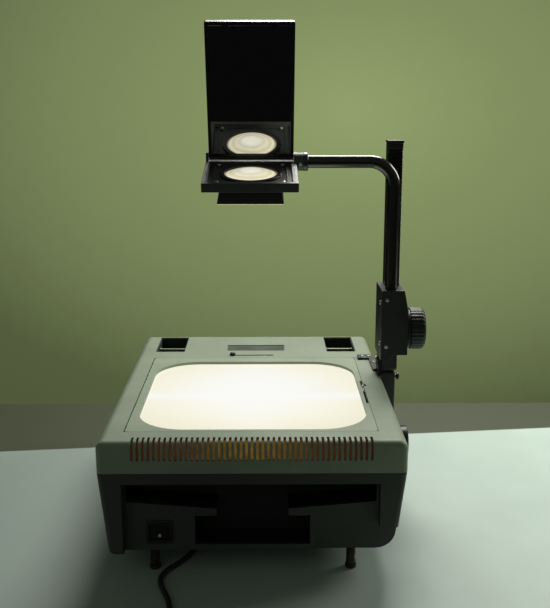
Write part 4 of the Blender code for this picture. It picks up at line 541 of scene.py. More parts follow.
def lit_stage_glass():
    """The stage glass with the Fresnel lens's light in it: white along a cross, warmer to the corners."""
    material, tree, shader, place = blank_material("lit_stage_glass")
    centre = middle_of_stage(0, 0.02, 0.168)
    field = distance_from(tree, place, centre, (1, 1.1, 0))
    wide = [
        (0.0, (1.0, 1.0, 0.985)),
        (0.30, (1.0, 0.99, 0.93)),
        (0.62, (0.97, 0.94, 0.79)),
        (1.0, (0.89, 0.85, 0.66)),
    ]
    base = ramp(tree, spread(tree, field, 0, 1, 0.02, 0.20), wide)
    band = distance_from(tree, place, middle_of_stage(0, -0.004, 0.168), (0.10, 2.4, 0))
    post = distance_from(tree, place, middle_of_stage(0, 0, 0.168), (2.0, 0.34, 0))
    bright = mix_light(tree, base, spread(tree, band, 0.85, 0, 0.008, 0.050), (1.0, 1.0, 0.99))
    bright = mix_light(tree, bright, spread(tree, post, 0.4, 0, 0.01, 0.11), (1.0, 1.0, 0.98))
    rings = tree.nodes.new("ShaderNodeTexWave")
    rings.wave_type = "RINGS"
    rings.rings_direction = "Z"
    rings.inputs["Scale"].default_value = 150.0
    rings.inputs["Distortion"].default_value = 0.0
    shifted = tree.nodes.new("ShaderNodeMapping")
    shifted.inputs["Location"].default_value = -middle_of_stage(0, 0, 0.168)
    tree.links.new(place, shifted.inputs["Vector"])
    tree.links.new(shifted.outputs["Vector"], rings.inputs["Vector"])
    bump(tree, shader, rings.outputs["Fac"], 0.05, 0.0001)
    tree.links.new(bright, shader.inputs["Emission Color"])
    shader.inputs["Base Color"].default_value = (0.05, 0.05, 0.045, 1)
    shader.inputs["Emission Strength"].default_value = 1.0
    shader.inputs["Roughness"].default_value = 0.10
    shader.inputs["Coat Weight"].default_value = 0.5
    shader.inputs["Coat Roughness"].default_value = 0.03
    return material


def mix_light(tree, colour, share, over):
    """Lays a plain colour over another by a share."""
    node = tree.nodes.new("ShaderNodeMix")
    node.data_type = "RGBA"
    node.clamp_factor = True
    tree.links.new(share, node.inputs["Factor"])
    tree.links.new(colour, node.inputs["A"])
    node.inputs["B"].default_value = (*over, 1)
    return node.outputs["Result"]


def lit_lens(name, centre, radius, strength=0.85):
    """A lens with lamp light in it: cream in the middle, darker rings towards its edge."""
    material, tree, shader, place = blank_material(name)
    lit = colours().lamp_light
    reach = spread(tree, distance_from(tree, place, centre), 0, 1, 0, radius)
    stops = [
        (0.0, (1.0, 0.985, 0.90)),
        (0.34, scaled(lit, 0.96)),
        (0.50, scaled(lit, 0.72)),
        (0.60, (0.92, 0.85, 0.62)),
        (0.74, (0.74, 0.66, 0.44)),
        (0.86, (0.95, 0.90, 0.70)),
        (0.94, (0.34, 0.28, 0.15)),
        (1.0, (0.05, 0.04, 0.02)),
    ]
    base = ramp(tree, reach, stops)
    swirl = spread(tree, noise(tree, place, 95.0, 3.0, 0.6), 0.35, 0, 0.30, 0.62)
    shade = mix_light(tree, base, swirl, (0.70, 0.62, 0.42))
    tree.links.new(shade, shader.inputs["Emission Color"])
    tree.links.new(shade, shader.inputs["Base Color"])
    shader.inputs["Emission Strength"].default_value = strength
    shader.inputs["Roughness"].default_value = 0.05
    shader.inputs["Coat Weight"].default_value = 0.6
    shader.inputs["Coat Roughness"].default_value = 0.02
    return material


def silvered_mirror():
    """A front-silvered mirror with a little dust."""
    material, tree, shader, place = blank_material("silvered_mirror")
    dust = noise(tree, place, 60.0, 6.0, 0.7)
    stops = [(0.4, (0.80, 0.81, 0.80)), (0.8, (0.70, 0.71, 0.70))]
    tree.links.new(ramp(tree, dust, stops), shader.inputs["Base Color"])
    tree.links.new(spread(tree, dust, 0.01, 0.035, 0.4, 0.9), shader.inputs["Roughness"])
    shader.inputs["Metallic"].default_value = 1.0
    return material


def glowing_screen():
    """The gauze behind the air grille, glowing with painted lamp light: amber in the middle, redder and
    darker to the sides.
    """
    material, tree, shader, place = blank_material("glowing_screen")
    glow = colours().glow
    field = distance_from(tree, place, middle_of_stage(-0.004, -0.165, 0.164), (1, 0, 0.9))
    stops = [
        (0.0, glow),
        (0.25, (0.25, 0.14, 0.022)),
        (0.55, (0.12, 0.045, 0.012)),
        (1.0, (0.045, 0.014, 0.006)),
    ]
    light = ramp(tree, spread(tree, field, 0, 1, 0.0, 0.155), stops)
    # Darker patches in the painted lamp light
    patches = spread(tree, noise(tree, place, 130.0, 2.0, 0.5), 0.55, 0, 0.35, 0.6)
    tree.links.new(mix_light(tree, light, patches, (0.05, 0.014, 0.004)), shader.inputs["Emission Color"])
    shader.inputs["Emission Strength"].default_value = 0.4
    shader.inputs["Base Color"].default_value = (0.03, 0.02, 0.012, 1)
    shader.inputs["Roughness"].default_value = 0.7
    return material


class Maker(bpy.types.Operator):
    """Shared settings of the makers."""

    bl_idname = "projector.maker"
    bl_label = "Projector maker"
    bl_options = {"REGISTER", "UNDO"}

    def execute(self, context):
        """Runs the maker's own work."""
        self.make()
        return {"FINISHED"}


# Camera, floor and light

CAMERA_PLACE = (0.0175, -1.178, 0.564)
CAMERA_PITCH = math.radians(12.85)
CAMERA_YAW = math.radians(0.525)
CAMERA_LENS = 54.24
FLOOR_HALF = 2.5
FLOOR_FRONT = -0.47
FLOOR_REAR = 0.40
# How far to each side the floor's painted light runs from dark to light
FLOOR_LIGHT_REACH = 0.45
WALL_LINE = 0.2127
WALL_SLANT = 0.110
WALL_BLUR = 0.004
BOUNCE = (0.065, 0.072, 0.058)
BELOW = (0.003, 0.003, 0.003)
POOL_MIDDLE = (0.089, 0.996, -0.0155)
POOL_STRETCH = (1, 1, 1.5)
POOL_REACH = 0.62
LAMP_COLOUR = (1.0, 0.995, 0.93)
LAMPS = [
    ("overhead", (0.3, 1.15, 1.75), (0, -0.1, 0.1), 1.0, 42),
    ("right_rear", (1.7, 0.7, 1.1), (0.3, 0, 0.1), 0.9, 17),
    ("front_fill", (-0.9, -2.4, 1.2), (0, 0, 0.2), 1.6, 2.6),
]


class MakeStudio(Maker):
    """Camera at the photograph's viewpoint, a floor with painted light and shade, and soft lamps"""

    bl_idname = "projector.make_studio"
    bl_label = "Camera, floor and light"

    def make(self):
        """Sets up the view, the floor, the lamps and the world."""
        bpy.context.scene.view_settings.view_transform = "Standard"
        self.camera()
        self.floor()
        self.lamps()
        self.world()

    def camera(self):
        """The camera, from the fit to the photograph."""
        data = bpy.data.cameras.new("camera")
        data.lens = CAMERA_LENS
        data.sensor_width = 36
        data.clip_end = 30
        camera = bpy.data.objects.new("camera", data)
        bpy.context.scene.collection.objects.link(camera)
        camera.location = middle_of_stage(*CAMERA_PLACE)
        camera.rotation_euler = (math.pi / 2 - CAMERA_PITCH, 0, -CAMERA_YAW)
        bpy.context.scene.camera = camera

    def floor(self):
        """A pale table top, darker to the left and lighter to the right as painted light; behind a slanting
        line it has the wall's colour, darkened as painted shade.
        """
        deselect()
        bpy.ops.mesh.primitive_plane_add(size=1)
        floor = named("floor")
        floor.data.transform(Matrix.Diagonal((2 * FLOOR_HALF, FLOOR_REAR - FLOOR_FRONT, 1, 1)))
        floor.data.transform(Matrix.Translation((0, (FLOOR_REAR + FLOOR_FRONT) / 2, 0)))
        material, tree, shader, place = blank_material("floor_paint")
        tone = colours().floor
        across = tree.nodes.new("ShaderNodeSeparateXYZ")
        tree.links.new(place, across.inputs["Vector"])
        # Painted light: the table top is darker on the left and lighter on the right, as if lit from the
        # right
        side = spread(tree, across.outputs["X"], 0, 1, -FLOOR_LIGHT_REACH, FLOOR_LIGHT_REACH)
        shades = [(0.0, scaled(tone, 0.62)), (0.5, scaled(tone, 0.85)), (1.0, scaled(tone, 1.15))]
        table = ramp(tree, side, shades)
        line = tree.nodes.new("ShaderNodeMath")
        line.operation = "MULTIPLY_ADD"
        line.inputs[1].default_value = -WALL_SLANT
        tree.links.new(across.outputs["X"], line.inputs[0])
        tree.links.new(across.outputs["Y"], line.inputs[2])
        behind = spread(tree, line.outputs["Value"], 0, 1, WALL_LINE, WALL_LINE + WALL_BLUR)
        cloud = spread(tree, noise(tree, place, 9.0, 5.0), 0, 0.12, 0.4, 0.7)
        mottled = mix_light(tree, table, cloud, scaled(tone, 0.5))
        # Painted shade: behind the line the floor takes the backdrop's colour at 0.16 of its strength, the
        # wall's shade just above the table
        painted = mix_light(tree, mottled, behind, scaled(colours().backdrop, 0.16))
        tree.links.new(painted, shader.inputs["Base Color"])
        bump(tree, shader, noise(tree, place, 300.0, 2.0), 0.1, 0.0003)
        shader.inputs["Roughness"].default_value = 0.6
        floor.data.materials.append(material)

    def lamps(self):
        """A large soft lamp above and behind, one from the right rear, and a weak fill in front."""
        for name, place, aim, size, power in LAMPS:
            data = bpy.data.lights.new(name, "AREA")
            data.energy = power
            data.size = size
            data.color = LAMP_COLOUR
            lamp = bpy.data.objects.new(name, data)
            bpy.context.scene.collection.objects.link(lamp)
            lamp.location = place
            toward = Vector(aim) - Vector(place)
            lamp.rotation_euler = toward.to_track_quat("-Z", "Y").to_euler()

    def world(self):
        """A wall with a soft pool of light for the camera; dim even light for everything else."""
        world = bpy.data.worlds.new("backdrop")
        bpy.context.scene.world = world
        world.use_nodes = True
        tree = world.node_tree
        sky = tree.nodes["Background"]
        direction = tree.nodes.new("ShaderNodeTexCoord").outputs["Generated"]
        tone = colours().backdrop
        pool = distance_from(tree, direction, POOL_MIDDLE, POOL_STRETCH)
        grain = spread(tree, noise(tree, direction, 60.0, 4.0, 0.6), -0.012, 0.012)
        total = tree.nodes.new("ShaderNodeMath")
        tree.links.new(pool, total.inputs[0])
        tree.links.new(grain, total.inputs[1])
        fall = [(0.0, 1.0), (0.25, 0.80), (0.50, 0.64), (0.64, 0.51), (0.80, 0.31), (1.0, 0.27)]
        stops = [(place, scaled(tone, share)) for place, share in fall]
        wall = ramp(tree, spread(tree, total.outputs["Value"], 0, 1, 0.0, POOL_REACH), stops)
        split = tree.nodes.new("ShaderNodeSeparateXYZ")
        tree.links.new(direction, split.inputs["Vector"])
        level = spread(tree, split.outputs["Z"], 0, 1, -0.03, 0.02)
        path = tree.nodes.new("ShaderNodeLightPath")
        dim = mix_light(tree, mix_light(tree, wall, level, BOUNCE), spread(tree, level, 1, 0), BELOW)
        choice = tree.nodes.new("ShaderNodeMix")
        choice.data_type = "RGBA"
        tree.links.new(path.outputs["Is Camera Ray"], choice.inputs["Factor"])
        tree.links.new(dim, choice.inputs["A"])
        tree.links.new(wall, choice.inputs["B"])
        tree.links.new(choice.outputs["Result"], sky.inputs["Color"])
        sky.inputs["Strength"].default_value = 1


# Power cord

CORD_ROUTE = [
    (-0.0600, 0.3255, 0.0520), (-0.0600, 0.3370, 0.0500), (-0.0620, 0.3520, 0.0385),
    (-0.0665, 0.3660, 0.0195), (-0.0730, 0.3760, 0.0070), (-0.0830, 0.3830, 0.0036),
    (-0.0960, 0.3850, 0.0036), (-0.1080, 0.3790, 0.0036), (-0.1150, 0.3660, 0.0036),
    (-0.1130, 0.3500, 0.0036), (-0.1030, 0.3200, 0.0036), (-0.0860, 0.2700, 0.0036),
    (-0.0700, 0.2000, 0.0036), (-0.0620, 0.1200, 0.0036), (-0.0600, 0.0400, 0.0036),
    (-0.0620, -0.0400, 0.0036), (-0.0700, -0.1000, 0.0036), (-0.0840, -0.1390, 0.0036),
    (-0.0960, -0.1570, 0.0036), (-0.1060, -0.1710, 0.0036), (-0.1105, -0.1860, 0.0036),
    (-0.1080, -0.2020, 0.0036), (-0.1010, -0.2200, 0.0036), (-0.0940, -0.2400, 0.0036),
    (-0.0905, -0.2650, 0.0036), (-0.0915, -0.2880, 0.0036), (-0.0928, -0.3040, 0.0036),
]
COIL_CENTRE = (-0.058, -0.341)
COIL_MEAN = 0.036
COIL_PITCH = 0.00662
COIL_FLOOR = 0.0036
COIL_START = 150
COIL_END = 270
COIL_CROSSING = 0.25
ROUTE_SPACING = 2.4
ROUTE_STEPS = 20
COIL_CELLS = [(1, 0), (0, 0), (-1, 0), (-1, 1), (0, 1), (-1, 2), (0, 2), (1, 2), (1, 1)]
COIL_STEPS = 16
PLUG_START = (-0.0315, -0.3836, 0.0093)
PLUG_LENGTH = 0.038
PLUG_TAIL = 0.012
PRONG_LENGTH = 0.017
PLUG_DROP = 0.0001
PLUG_HALF_WIDTH = 0.0125
PLUG_FLOOR = 0.0003
PLUG_ROUNDING = 0.0032
PLUG_TAIL_RINGS = [
    (0.0045, 0), (0.0048, 0.004), (0.0052, 0.005), (0.0052, 0.008), (0.0060, 0.009), (0.0068, 0.0135),
]
RIDGES = 4
RIDGE_START = 0.008
RIDGE_STEP = 0.0035
RIDGE_WIDTH = 0.0016
RIDGE_HALF_HEIGHT = 0.0055
RIDGE_OUT = 0.0127
RIDGE_HALF_DEPTH = 0.0006
PIN_GAP = 0.0063
PIN_HALF_WIDTH = 0.00075
PIN_HALF_HEIGHT = 0.0031
PIN_ROOT = 0.004
EARTH_RINGS = [(0.0023, 0), (0.0023, 0.019), (0.0012, 0.0205)]
GLAND_PLACE = (-0.060, 0.294, 0.052)
GLAND_LENGTH = 0.030
GLAND_SEGMENTS = 6
GLAND_COLLAR = [(0.0075, -0.0032), (0.0075, 0.0003), (0.0112, 0.0003), (0.0112, 0.0022), (0.0106, 0.0028)]
GLAND_ROOT = 0.0034
GLAND_RADIUS = 0.0078
GLAND_TAPER = 0.0034
GLAND_GROOVE = 0.0012
GLAND_END = 0.0044
TIE_TURN = math.radians(35)


def smooth_route(points, spacing):
    """Points at even spacing along the smooth curve through the route's points."""
    knots = [Vector(point) for point in points]
    knots = [2 * knots[0] - knots[1]] + knots + [2 * knots[-1] - knots[-2]]
    dense = []
    for i in range(1, len(knots) - 2):
        a, b, c, d = knots[i - 1 : i + 3]
        for step in range(ROUTE_STEPS):
            t = step / ROUTE_STEPS
            square = (2 * a - 5 * b + 4 * c - d) * t**2
            cube = (3 * b - a - 3 * c + d) * t**3
            dense.append(0.5 * (2 * b + (c - a) * t + square + cube))
    dense.append(knots[-2])
    even = [dense[0]]
    walked = 0.0
    for before, after in zip(dense, dense[1:]):
        walked += (after - before).length
        if walked >= spacing:
            even.append(after)
            walked = 0.0
    return even


def coil_points():
    """The turns of the stored coil, from outer bottom inwards and up, ending on the side towards the plug."""
    points = []
    turns = len(COIL_CELLS)
    last = COIL_END - COIL_START
    total = turns * COIL_STEPS + round(COIL_STEPS * last / 360) - COIL_STEPS
    for step in range(total + 1):
        along = step / COIL_STEPS
        cell = min(int(along), turns - 1)
        crossing = cell < turns - 1
        ease = max(0.0, (along - cell - 1 + COIL_CROSSING) / COIL_CROSSING) if crossing else 0.0
        ease = ease * ease * (3 - 2 * ease)
        here = COIL_CELLS[cell]
        there = COIL_CELLS[min(cell + 1, turns - 1)]
        across = here[0] + (there[0] - here[0]) * ease
        up = here[1] + (there[1] - here[1]) * ease
        radius = COIL_MEAN + across * COIL_PITCH
        turn = math.radians(COIL_START + 360 * along)
        height = COIL_FLOOR + up * COIL_PITCH
        x = COIL_CENTRE[0] + radius * math.cos(turn)
        y = COIL_CENTRE[1] + radius * math.sin(turn)
        points.append((x, y, height))
    return points


class MakeCord(Maker):
    """Mains lead with its gland, stored coil and plug"""

    bl_idname = "projector.make_cord"
    bl_label = "Power cord"

    def make(self):
        """Makes the lead as one curve, then its gland, plug and tie."""
        radius = sizes().cord_diameter / 2
        sheath = soft_rubber("cord_sheath")
        route = smooth_route(CORD_ROUTE, ROUTE_SPACING * sizes().cord_diameter)
        end = (PLUG_START[0] + PLUG_TAIL / 3, PLUG_START[1], PLUG_START[2])
        points = [tuple(point) for point in route] + coil_points() + [end]
        curve = bpy.data.curves.new("mains_lead", "CURVE")
        curve.dimensions = "3D"
        curve.bevel_depth = radius
        curve.bevel_resolution = 4
        curve.use_fill_caps = True
        curve.resolution_u = 3
        spline = curve.splines.new("NURBS")
        spline.points.add(len(points) - 1)
        for point, place in zip(spline.points, points):
            point.co = (*middle_of_stage(*place), 1)
        spline.use_endpoint_u = True
        spline.order_u = 4
        lead = bpy.data.objects.new("mains_lead", curve)
        bpy.context.scene.collection.objects.link(lead)
        lead.data.materials.append(sheath)
        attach(lead, "body")
        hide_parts("power_cord", "cord_coil")
        gland = self.gland(sheath)
        plug = self.plug()
        tie = self.tie()

    def length(self, points):
        """The lead's real length along its points."""
        return sum((Vector(b) - Vector(a)).length for a, b in zip(points, points[1:]))

    def gland(self, sheath):
        """The tapered strain relief with its segments."""
        rings = list(GLAND_COLLAR)
        for number in range(GLAND_SEGMENTS):
            share = number / GLAND_SEGMENTS
            radius = GLAND_RADIUS - GLAND_TAPER * share
            waist = radius - GLAND_GROOVE
            start = GLAND_ROOT + (GLAND_LENGTH - GLAND_ROOT) * share
            end = start + GLAND_ROOT
            rings += [(radius, start), (radius - 0.0003, end), (waist, end + 0.0001), (waist, end + 0.0008)]
        rings += [(GLAND_END, GLAND_LENGTH - 0.0002)]
        gland = lathe("lead_gland", rings, along_rear(middle_of_stage(*GLAND_PLACE)), 32)
        return finish(gland, sheath, "body", "cord_gland")

    def plug(self):
        """A moulded three-pin plug with grip ridges and brass pins."""
        x, y, z = PLUG_START
        z -= PLUG_DROP
        body_start = x + PLUG_TAIL
        body_end = x + PLUG_LENGTH
        low = middle_of_stage(body_start, y - PLUG_HALF_WIDTH, PLUG_FLOOR)
        high = middle_of_stage(body_end, y + PLUG_HALF_WIDTH, 2 * z)
        body = bar("plug_body", low, high, PLUG_ROUNDING, 3)
        tail = lathe("plug_tail", PLUG_TAIL_RINGS, along_x(middle_of_stage(x, y, z)), 24)
        ridges = []
        for number in range(RIDGES):
            at = body_start + RIDGE_START + number * RIDGE_STEP
            for side in (-1, 1):
                face = y + side * RIDGE_OUT
                ridge_low = middle_of_stage(at, face - RIDGE_HALF_DEPTH, z - RIDGE_HALF_HEIGHT)
                ridge_high = middle_of_stage(at + RIDGE_WIDTH, face + RIDGE_HALF_DEPTH, z + RIDGE_HALF_HEIGHT)
                ridges.append(bar("ridge", ridge_low, ridge_high, 0.0005))
        grip = merged("plug_grip", [body, tail] + ridges)
        finish(grip, soft_rubber("plug_moulding", (0.010, 0.010, 0.010), 0.5), "body", "plug")
        pins = []
        for side in (-1, 1):
            middle = y + side * PIN_GAP
            pin_low = middle_of_stage(body_end - PIN_ROOT, middle - PIN_HALF_WIDTH, z - PIN_HALF_HEIGHT)
            pin_high = middle_of_stage(body_end + PRONG_LENGTH, middle + PIN_HALF_WIDTH, z + PIN_HALF_HEIGHT)
            pins.append(bar("pin", pin_low, pin_high, 0.0003))
        earth_place = middle_of_stage(body_end - PIN_ROOT, y, z + PIN_HALF_HEIGHT)
        pins.append(lathe("earth", EARTH_RINGS, along_x(earth_place), 20))
        pins = merged("plug_pins", pins)
        finish(pins, bare_metal("plug_brass", (0.72, 0.58, 0.32), 0.25), "body")
        pins.parent = grip
        pins.matrix_parent_inverse = grip.matrix_world.inverted()
        return grip

    def tie(self):
        """The plastic tie round the coil's turns."""
        x = COIL_CENTRE[0] + COIL_MEAN * math.cos(TIE_TURN)
        y = COIL_CENTRE[1] + COIL_MEAN * math.sin(TIE_TURN)
        turn = Matrix.Translation(middle_of_stage(x, y, 0)) @ Matrix.Rotation(TIE_TURN, 4, "Z")
        low = (-0.0111, -0.0022, 0.0002)
        high = (0.0111, 0.0022, 0.0212)
        strap = bar("cord_tie", low, high, 0.002, 2)
        inside = bar("tie_inside", (-0.0103, -0.01, 0.0008), (0.0103, 0.01, 0.0204), 0.0018, 2)
        cut_out(strap, inside)
        strap.data.transform(turn)
        return finish(strap, moulded_plastic("tie_plastic", (0.02, 0.02, 0.02), 0.4), "body")


# Casing


GAUZE_LOW = (-0.1445, -0.1632, 0.1430)
GAUZE_HIGH = (0.1430, -0.1620, 0.1690)
POCKETS = (("left", -0.156, -0.1105), ("right", 0.1105, 0.156))
POCKET_FRONT = 0.198
POCKET_REAR = 0.284
LINING_FLOOR = 0.1521
LINING_TOP = 0.1722
LINING_EDGE = 0.0004
LINING_WALL = 0.0010
LABEL_LOW = (-0.0443, 0.2047, 0.1724)
LABEL_HIGH = (0.0443, 0.2363, 0.1731)
ROD_RADIUS = 0.0024
ROD_COLLAR = 0.0030
UNDER_SCREWS_X = (-0.155, 0.150)
UNDER_SCREWS_Y = (-0.130, 0.060, 0.270)
UNDER_SCREWS_Z = 0.0301
REAR_SCREWS_X = (-0.160, -0.110, 0.110, 0.160)
REAR_SCREWS_Y = 0.2939
REAR_SCREWS_Z = 0.150


class MakeCasing(Maker):
    """Upper and lower casing, the liner darkened as painted shade, rear pockets lined with painted shade, and
    their rods
    """

    bl_idname = "projector.make_casing"
    bl_label = "Casing"

    def make(self):
        """Dresses the casing's nodes and adds its screws and the lit gauze behind the grille."""
        deck = moulded_plastic("deck_plastic", colours().deck)
        base = moulded_plastic("base_plastic", colours().base, 0.55)
        # Painted shade: the black liner is made half as dark again, for the shade deep in the front recess
        liner = moulded_plastic("liner_plastic_painted_shade", scaled(colours().black, 0.5), 0.6)
        dress("upper_housing", deck, "body", SMALL_EDGE)
        dress("base_housing", base, "body", BODY_EDGE)
        dress("recess_liner", liner, "body", FINE_EDGE)
        steel = bare_metal("clip_steel", (0.20, 0.22, 0.17), 0.45, (1500.0, 60.0, 60.0))
        for side in ("left", "right"):
            self.clip(side, steel)
        self.lever()
        self.screen()
        self.screws()
        self.linings()

    def linings(self):
        """Dark linings in the rear pockets, painted shade in their depths, and a darker field in the label
        recess.
        """
        # Painted shade: the dark linings stand in for the shade inside the pockets
        dark = moulded_plastic("pocket_painted_shade", (0.012, 0.019, 0.014), 0.6)
        for side, left, right in POCKETS:
            low = middle_of_stage(left + LINING_EDGE, POCKET_FRONT + LINING_EDGE, LINING_FLOOR)
            high = middle_of_stage(right - LINING_EDGE, POCKET_REAR - LINING_EDGE, LINING_TOP)
            lining = bar("pocket_painted_shade_" + side, low, high)
            wall = Vector((LINING_WALL, LINING_WALL, 0))
            rise = Vector((0, 0, LINING_WALL))
            room = bar("room", low + wall + rise, high - wall + rise)
            cut_out(lining, room)
            finish(lining, dark, "body")
        field = bar("label_field", middle_of_stage(*LABEL_LOW), middle_of_stage(*LABEL_HIGH), 0.0002)
        finish(field, moulded_plastic("label_plastic", scaled(colours().deck, 0.32), 0.35), "body")

    def clip(self, side, steel):
        """A pocket's rod with a collar at each end."""
        low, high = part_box("roll_clip_" + side)
        middle = (low.y + high.y) / 2
        height = (low.z + high.z) / 2
        length = high.x - low.x
        half = [(ROD_RADIUS, 0), (ROD_COLLAR, 0.0006), (ROD_COLLAR, 0.004), (ROD_RADIUS, 0.0046)]
        rings = half + [(radius, length - reach) for radius, reach in reversed(half)]
        rod = lathe("pocket_rod_" + side, rings, along_x((low.x, middle, height)), 24)
        finish(rod, steel, "body", "roll_clip_" + side)

    def lever(self):
        """The small lever in the slot behind the stage, with a ribbed cap."""
        black = moulded_plastic("lever_plastic", colours().black, 0.4)
        dress("fringe_lever", black, "lever", FINE_EDGE)

    def screen(self):
        """The gauze just inside the air grille, with painted lamp light."""
        sheet = bar("grille_gauze", middle_of_stage(*GAUZE_LOW), middle_of_stage(*GAUZE_HIGH), 0.0004)
        finish(sheet, glowing_screen(), "body")

    def screws(self):
        """Six casing screws in the underside and four in the rear wall."""
        steel = bare_metal("screw_steel", (0.35, 0.35, 0.33), 0.35)
        head = sizes().screw_head
        places = []
        for x in UNDER_SCREWS_X:
            for y in UNDER_SCREWS_Y:
                place = Matrix.Translation(middle_of_stage(x, y, UNDER_SCREWS_Z))
                places.append(place @ Matrix.Rotation(math.pi, 4, "X"))
        for x in REAR_SCREWS_X:
            places.append(along_rear(middle_of_stage(x, REAR_SCREWS_Y, REAR_SCREWS_Z)))
        heads = [screw_head("screw", head, turn) for turn in places]
        finish(merged("casing_screws", heads), steel, "body")


SCREW_PROFILE = [(1, 0.25), (0.86, 0.45), (0.4, 0.58)]
SLOT_REACH = 0.55
SLOT_HALF = 0.11


def screw_head(name, radius, turn):
    """A low domed screw head with a cross recess."""
    rings = [(radius, -0.0001)] + [(wide * radius, high * radius) for wide, high in SCREW_PROFILE]
    head = lathe(name, rings, None, 20)
    for turned in (0, math.pi / 2):
        reach = SLOT_REACH * radius
        half = SLOT_HALF * radius
        slot = bar("slot", (-reach, -half, 0.25 * radius), (reach, half, radius))
        slot.data.transform(Matrix.Rotation(turned, 4, "Z"))
        cut_out(head, slot)
    head.data.transform(turn)
    return head


class MakeStageLid(Maker):
    """Hinged stage frame, lit glass, Fresnel lens, hinge pins and catch"""

    bl_idname = "projector.make_stage_lid"
    bl_label = "Stage"

    def make(self):
        """Dresses the stage's nodes."""
        deck = moulded_plastic("stage_plastic", scaled(colours().deck, 1.12))
        dress("stage_frame", deck, "stage", FRAME_EDGE)
        dress("stage_glass", lit_stage_glass(), "stage", FINE_EDGE)
        coat(self.grooved(), "fresnel_lens")
        steel = bare_metal("pin_steel", (0.66, 0.66, 0.63), 0.25)
        coat(steel, "lid_pin_front", "lid_pin_rear")
        bright = bare_metal("catch_steel", (0.86, 0.86, 0.80), 0.22)
        dress("stage_latch", bright, "latch", FINE_EDGE)

    def grooved(self):
        """Clear grooved acrylic with painted lamp light glowing in it."""
        material, tree, shader, place = blank_material("grooved_acrylic")
        reach = distance_from(tree, place, middle_of_stage(0, 0, 0.165), (1, 1, 0))
        wave = tree.nodes.new("ShaderNodeMath")
        wave.operation = "SINE"
        tree.links.new(spread(tree, reach, 0, 2500.0, 0, 1), wave.inputs[0])
        bump(tree, shader, wave.outputs["Value"], 0.4, 0.0003)
        shader.inputs["Base Color"].default_value = (0.96, 0.96, 0.90, 1)
        shader.inputs["Transmission Weight"].default_value = 0.8
        shader.inputs["Roughness"].default_value = 0.12
        # Painted light: the lens glows faintly in the lamp's colour
        shader.inputs["Emission Color"].default_value = (*colours().lamp_light, 1)
        shader.inputs["Emission Strength"].default_value = 0.35
        return material


class MakeSwitch(Maker):
    """Switch bezel and rocker with two pale marks"""

    bl_idname = "projector.make_switch"
    bl_label = "Power switch"

    def make(self):
        """Dresses the bezel and the rocker and adds the rocker's marks."""
        black = moulded_plastic("switch_plastic", colours().black, 0.3, 2600.0, 0.00004)
        dress("switch_bezel", black, "body", SMALL_EDGE)
        dress("power_rocker", black, "rocker", MIDDLE_EDGE)
        self.marks()

    def marks(self):
        """A line and a ring on the rocker's two halves."""
        low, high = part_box("power_rocker")
        x = (low.x + high.x) / 2
        z = (low.z + high.z) / 2
        paint, tree, shader, place = blank_material("mark_paint")
        worn = noise(tree, place, 900.0, 3.0)
        tone = ramp(tree, worn, [(0.3, (0.5, 0.5, 0.46)), (0.6, (0.8, 0.8, 0.75))])
        tree.links.new(tone, shader.inputs["Base Color"])
        shader.inputs["Roughness"].default_value = 0.5
        front = low.y
        upper = bar("mark_line", (x - 0.0004, -0.0001, -0.002), (x + 0.0004, 0.0002, 0.002), 0.0001)
        lean = Matrix.Rotation(math.radians(20), 4, "X")
        upper.data.transform(Matrix.Translation((0, front + 0.0020, z + 0.0052)) @ lean)
        lower_place = along_front((x, front + 0.0016, z - 0.0052))
        lower = ring("mark_ring", 0.0021, 0.0014, -0.0001, 0.0002, 0, lower_place, 24)
        finish(merged("rocker_marks", [upper, lower]), paint, "rocker")


LEG_PLACES = (("left", -0.1195), ("right", 0.1195))
LEG_Y = -0.155
FOOT_Y = 0.250
LEG_LOW = 0.0063
LEG_TOP = 0.0297
LEG_COLLAR = 0.0135
LEG_CORE = 0.0053
LEG_CREST = 0.0059
LEG_RADIUS = 0.0060
TIP_RINGS = [
    (0.0050, 0), (0.0062, 0.0008), (0.0068, 0.0018), (0.0068, 0.0028),
    (0.0064, 0.0032), (0.0068, 0.0036), (0.0068, 0.0056), (0.0062, 0.0060),
]
FOOT_RINGS = [
    (0.0030, 0.003), (0.0032, 0), (0.0052, 0), (0.0064, 0.0010), (0.0072, 0.0030), (0.0078, 0.0180),
    (0.0084, 0.0195), (0.0085, 0.0290), (0.0080, 0.0297),
]


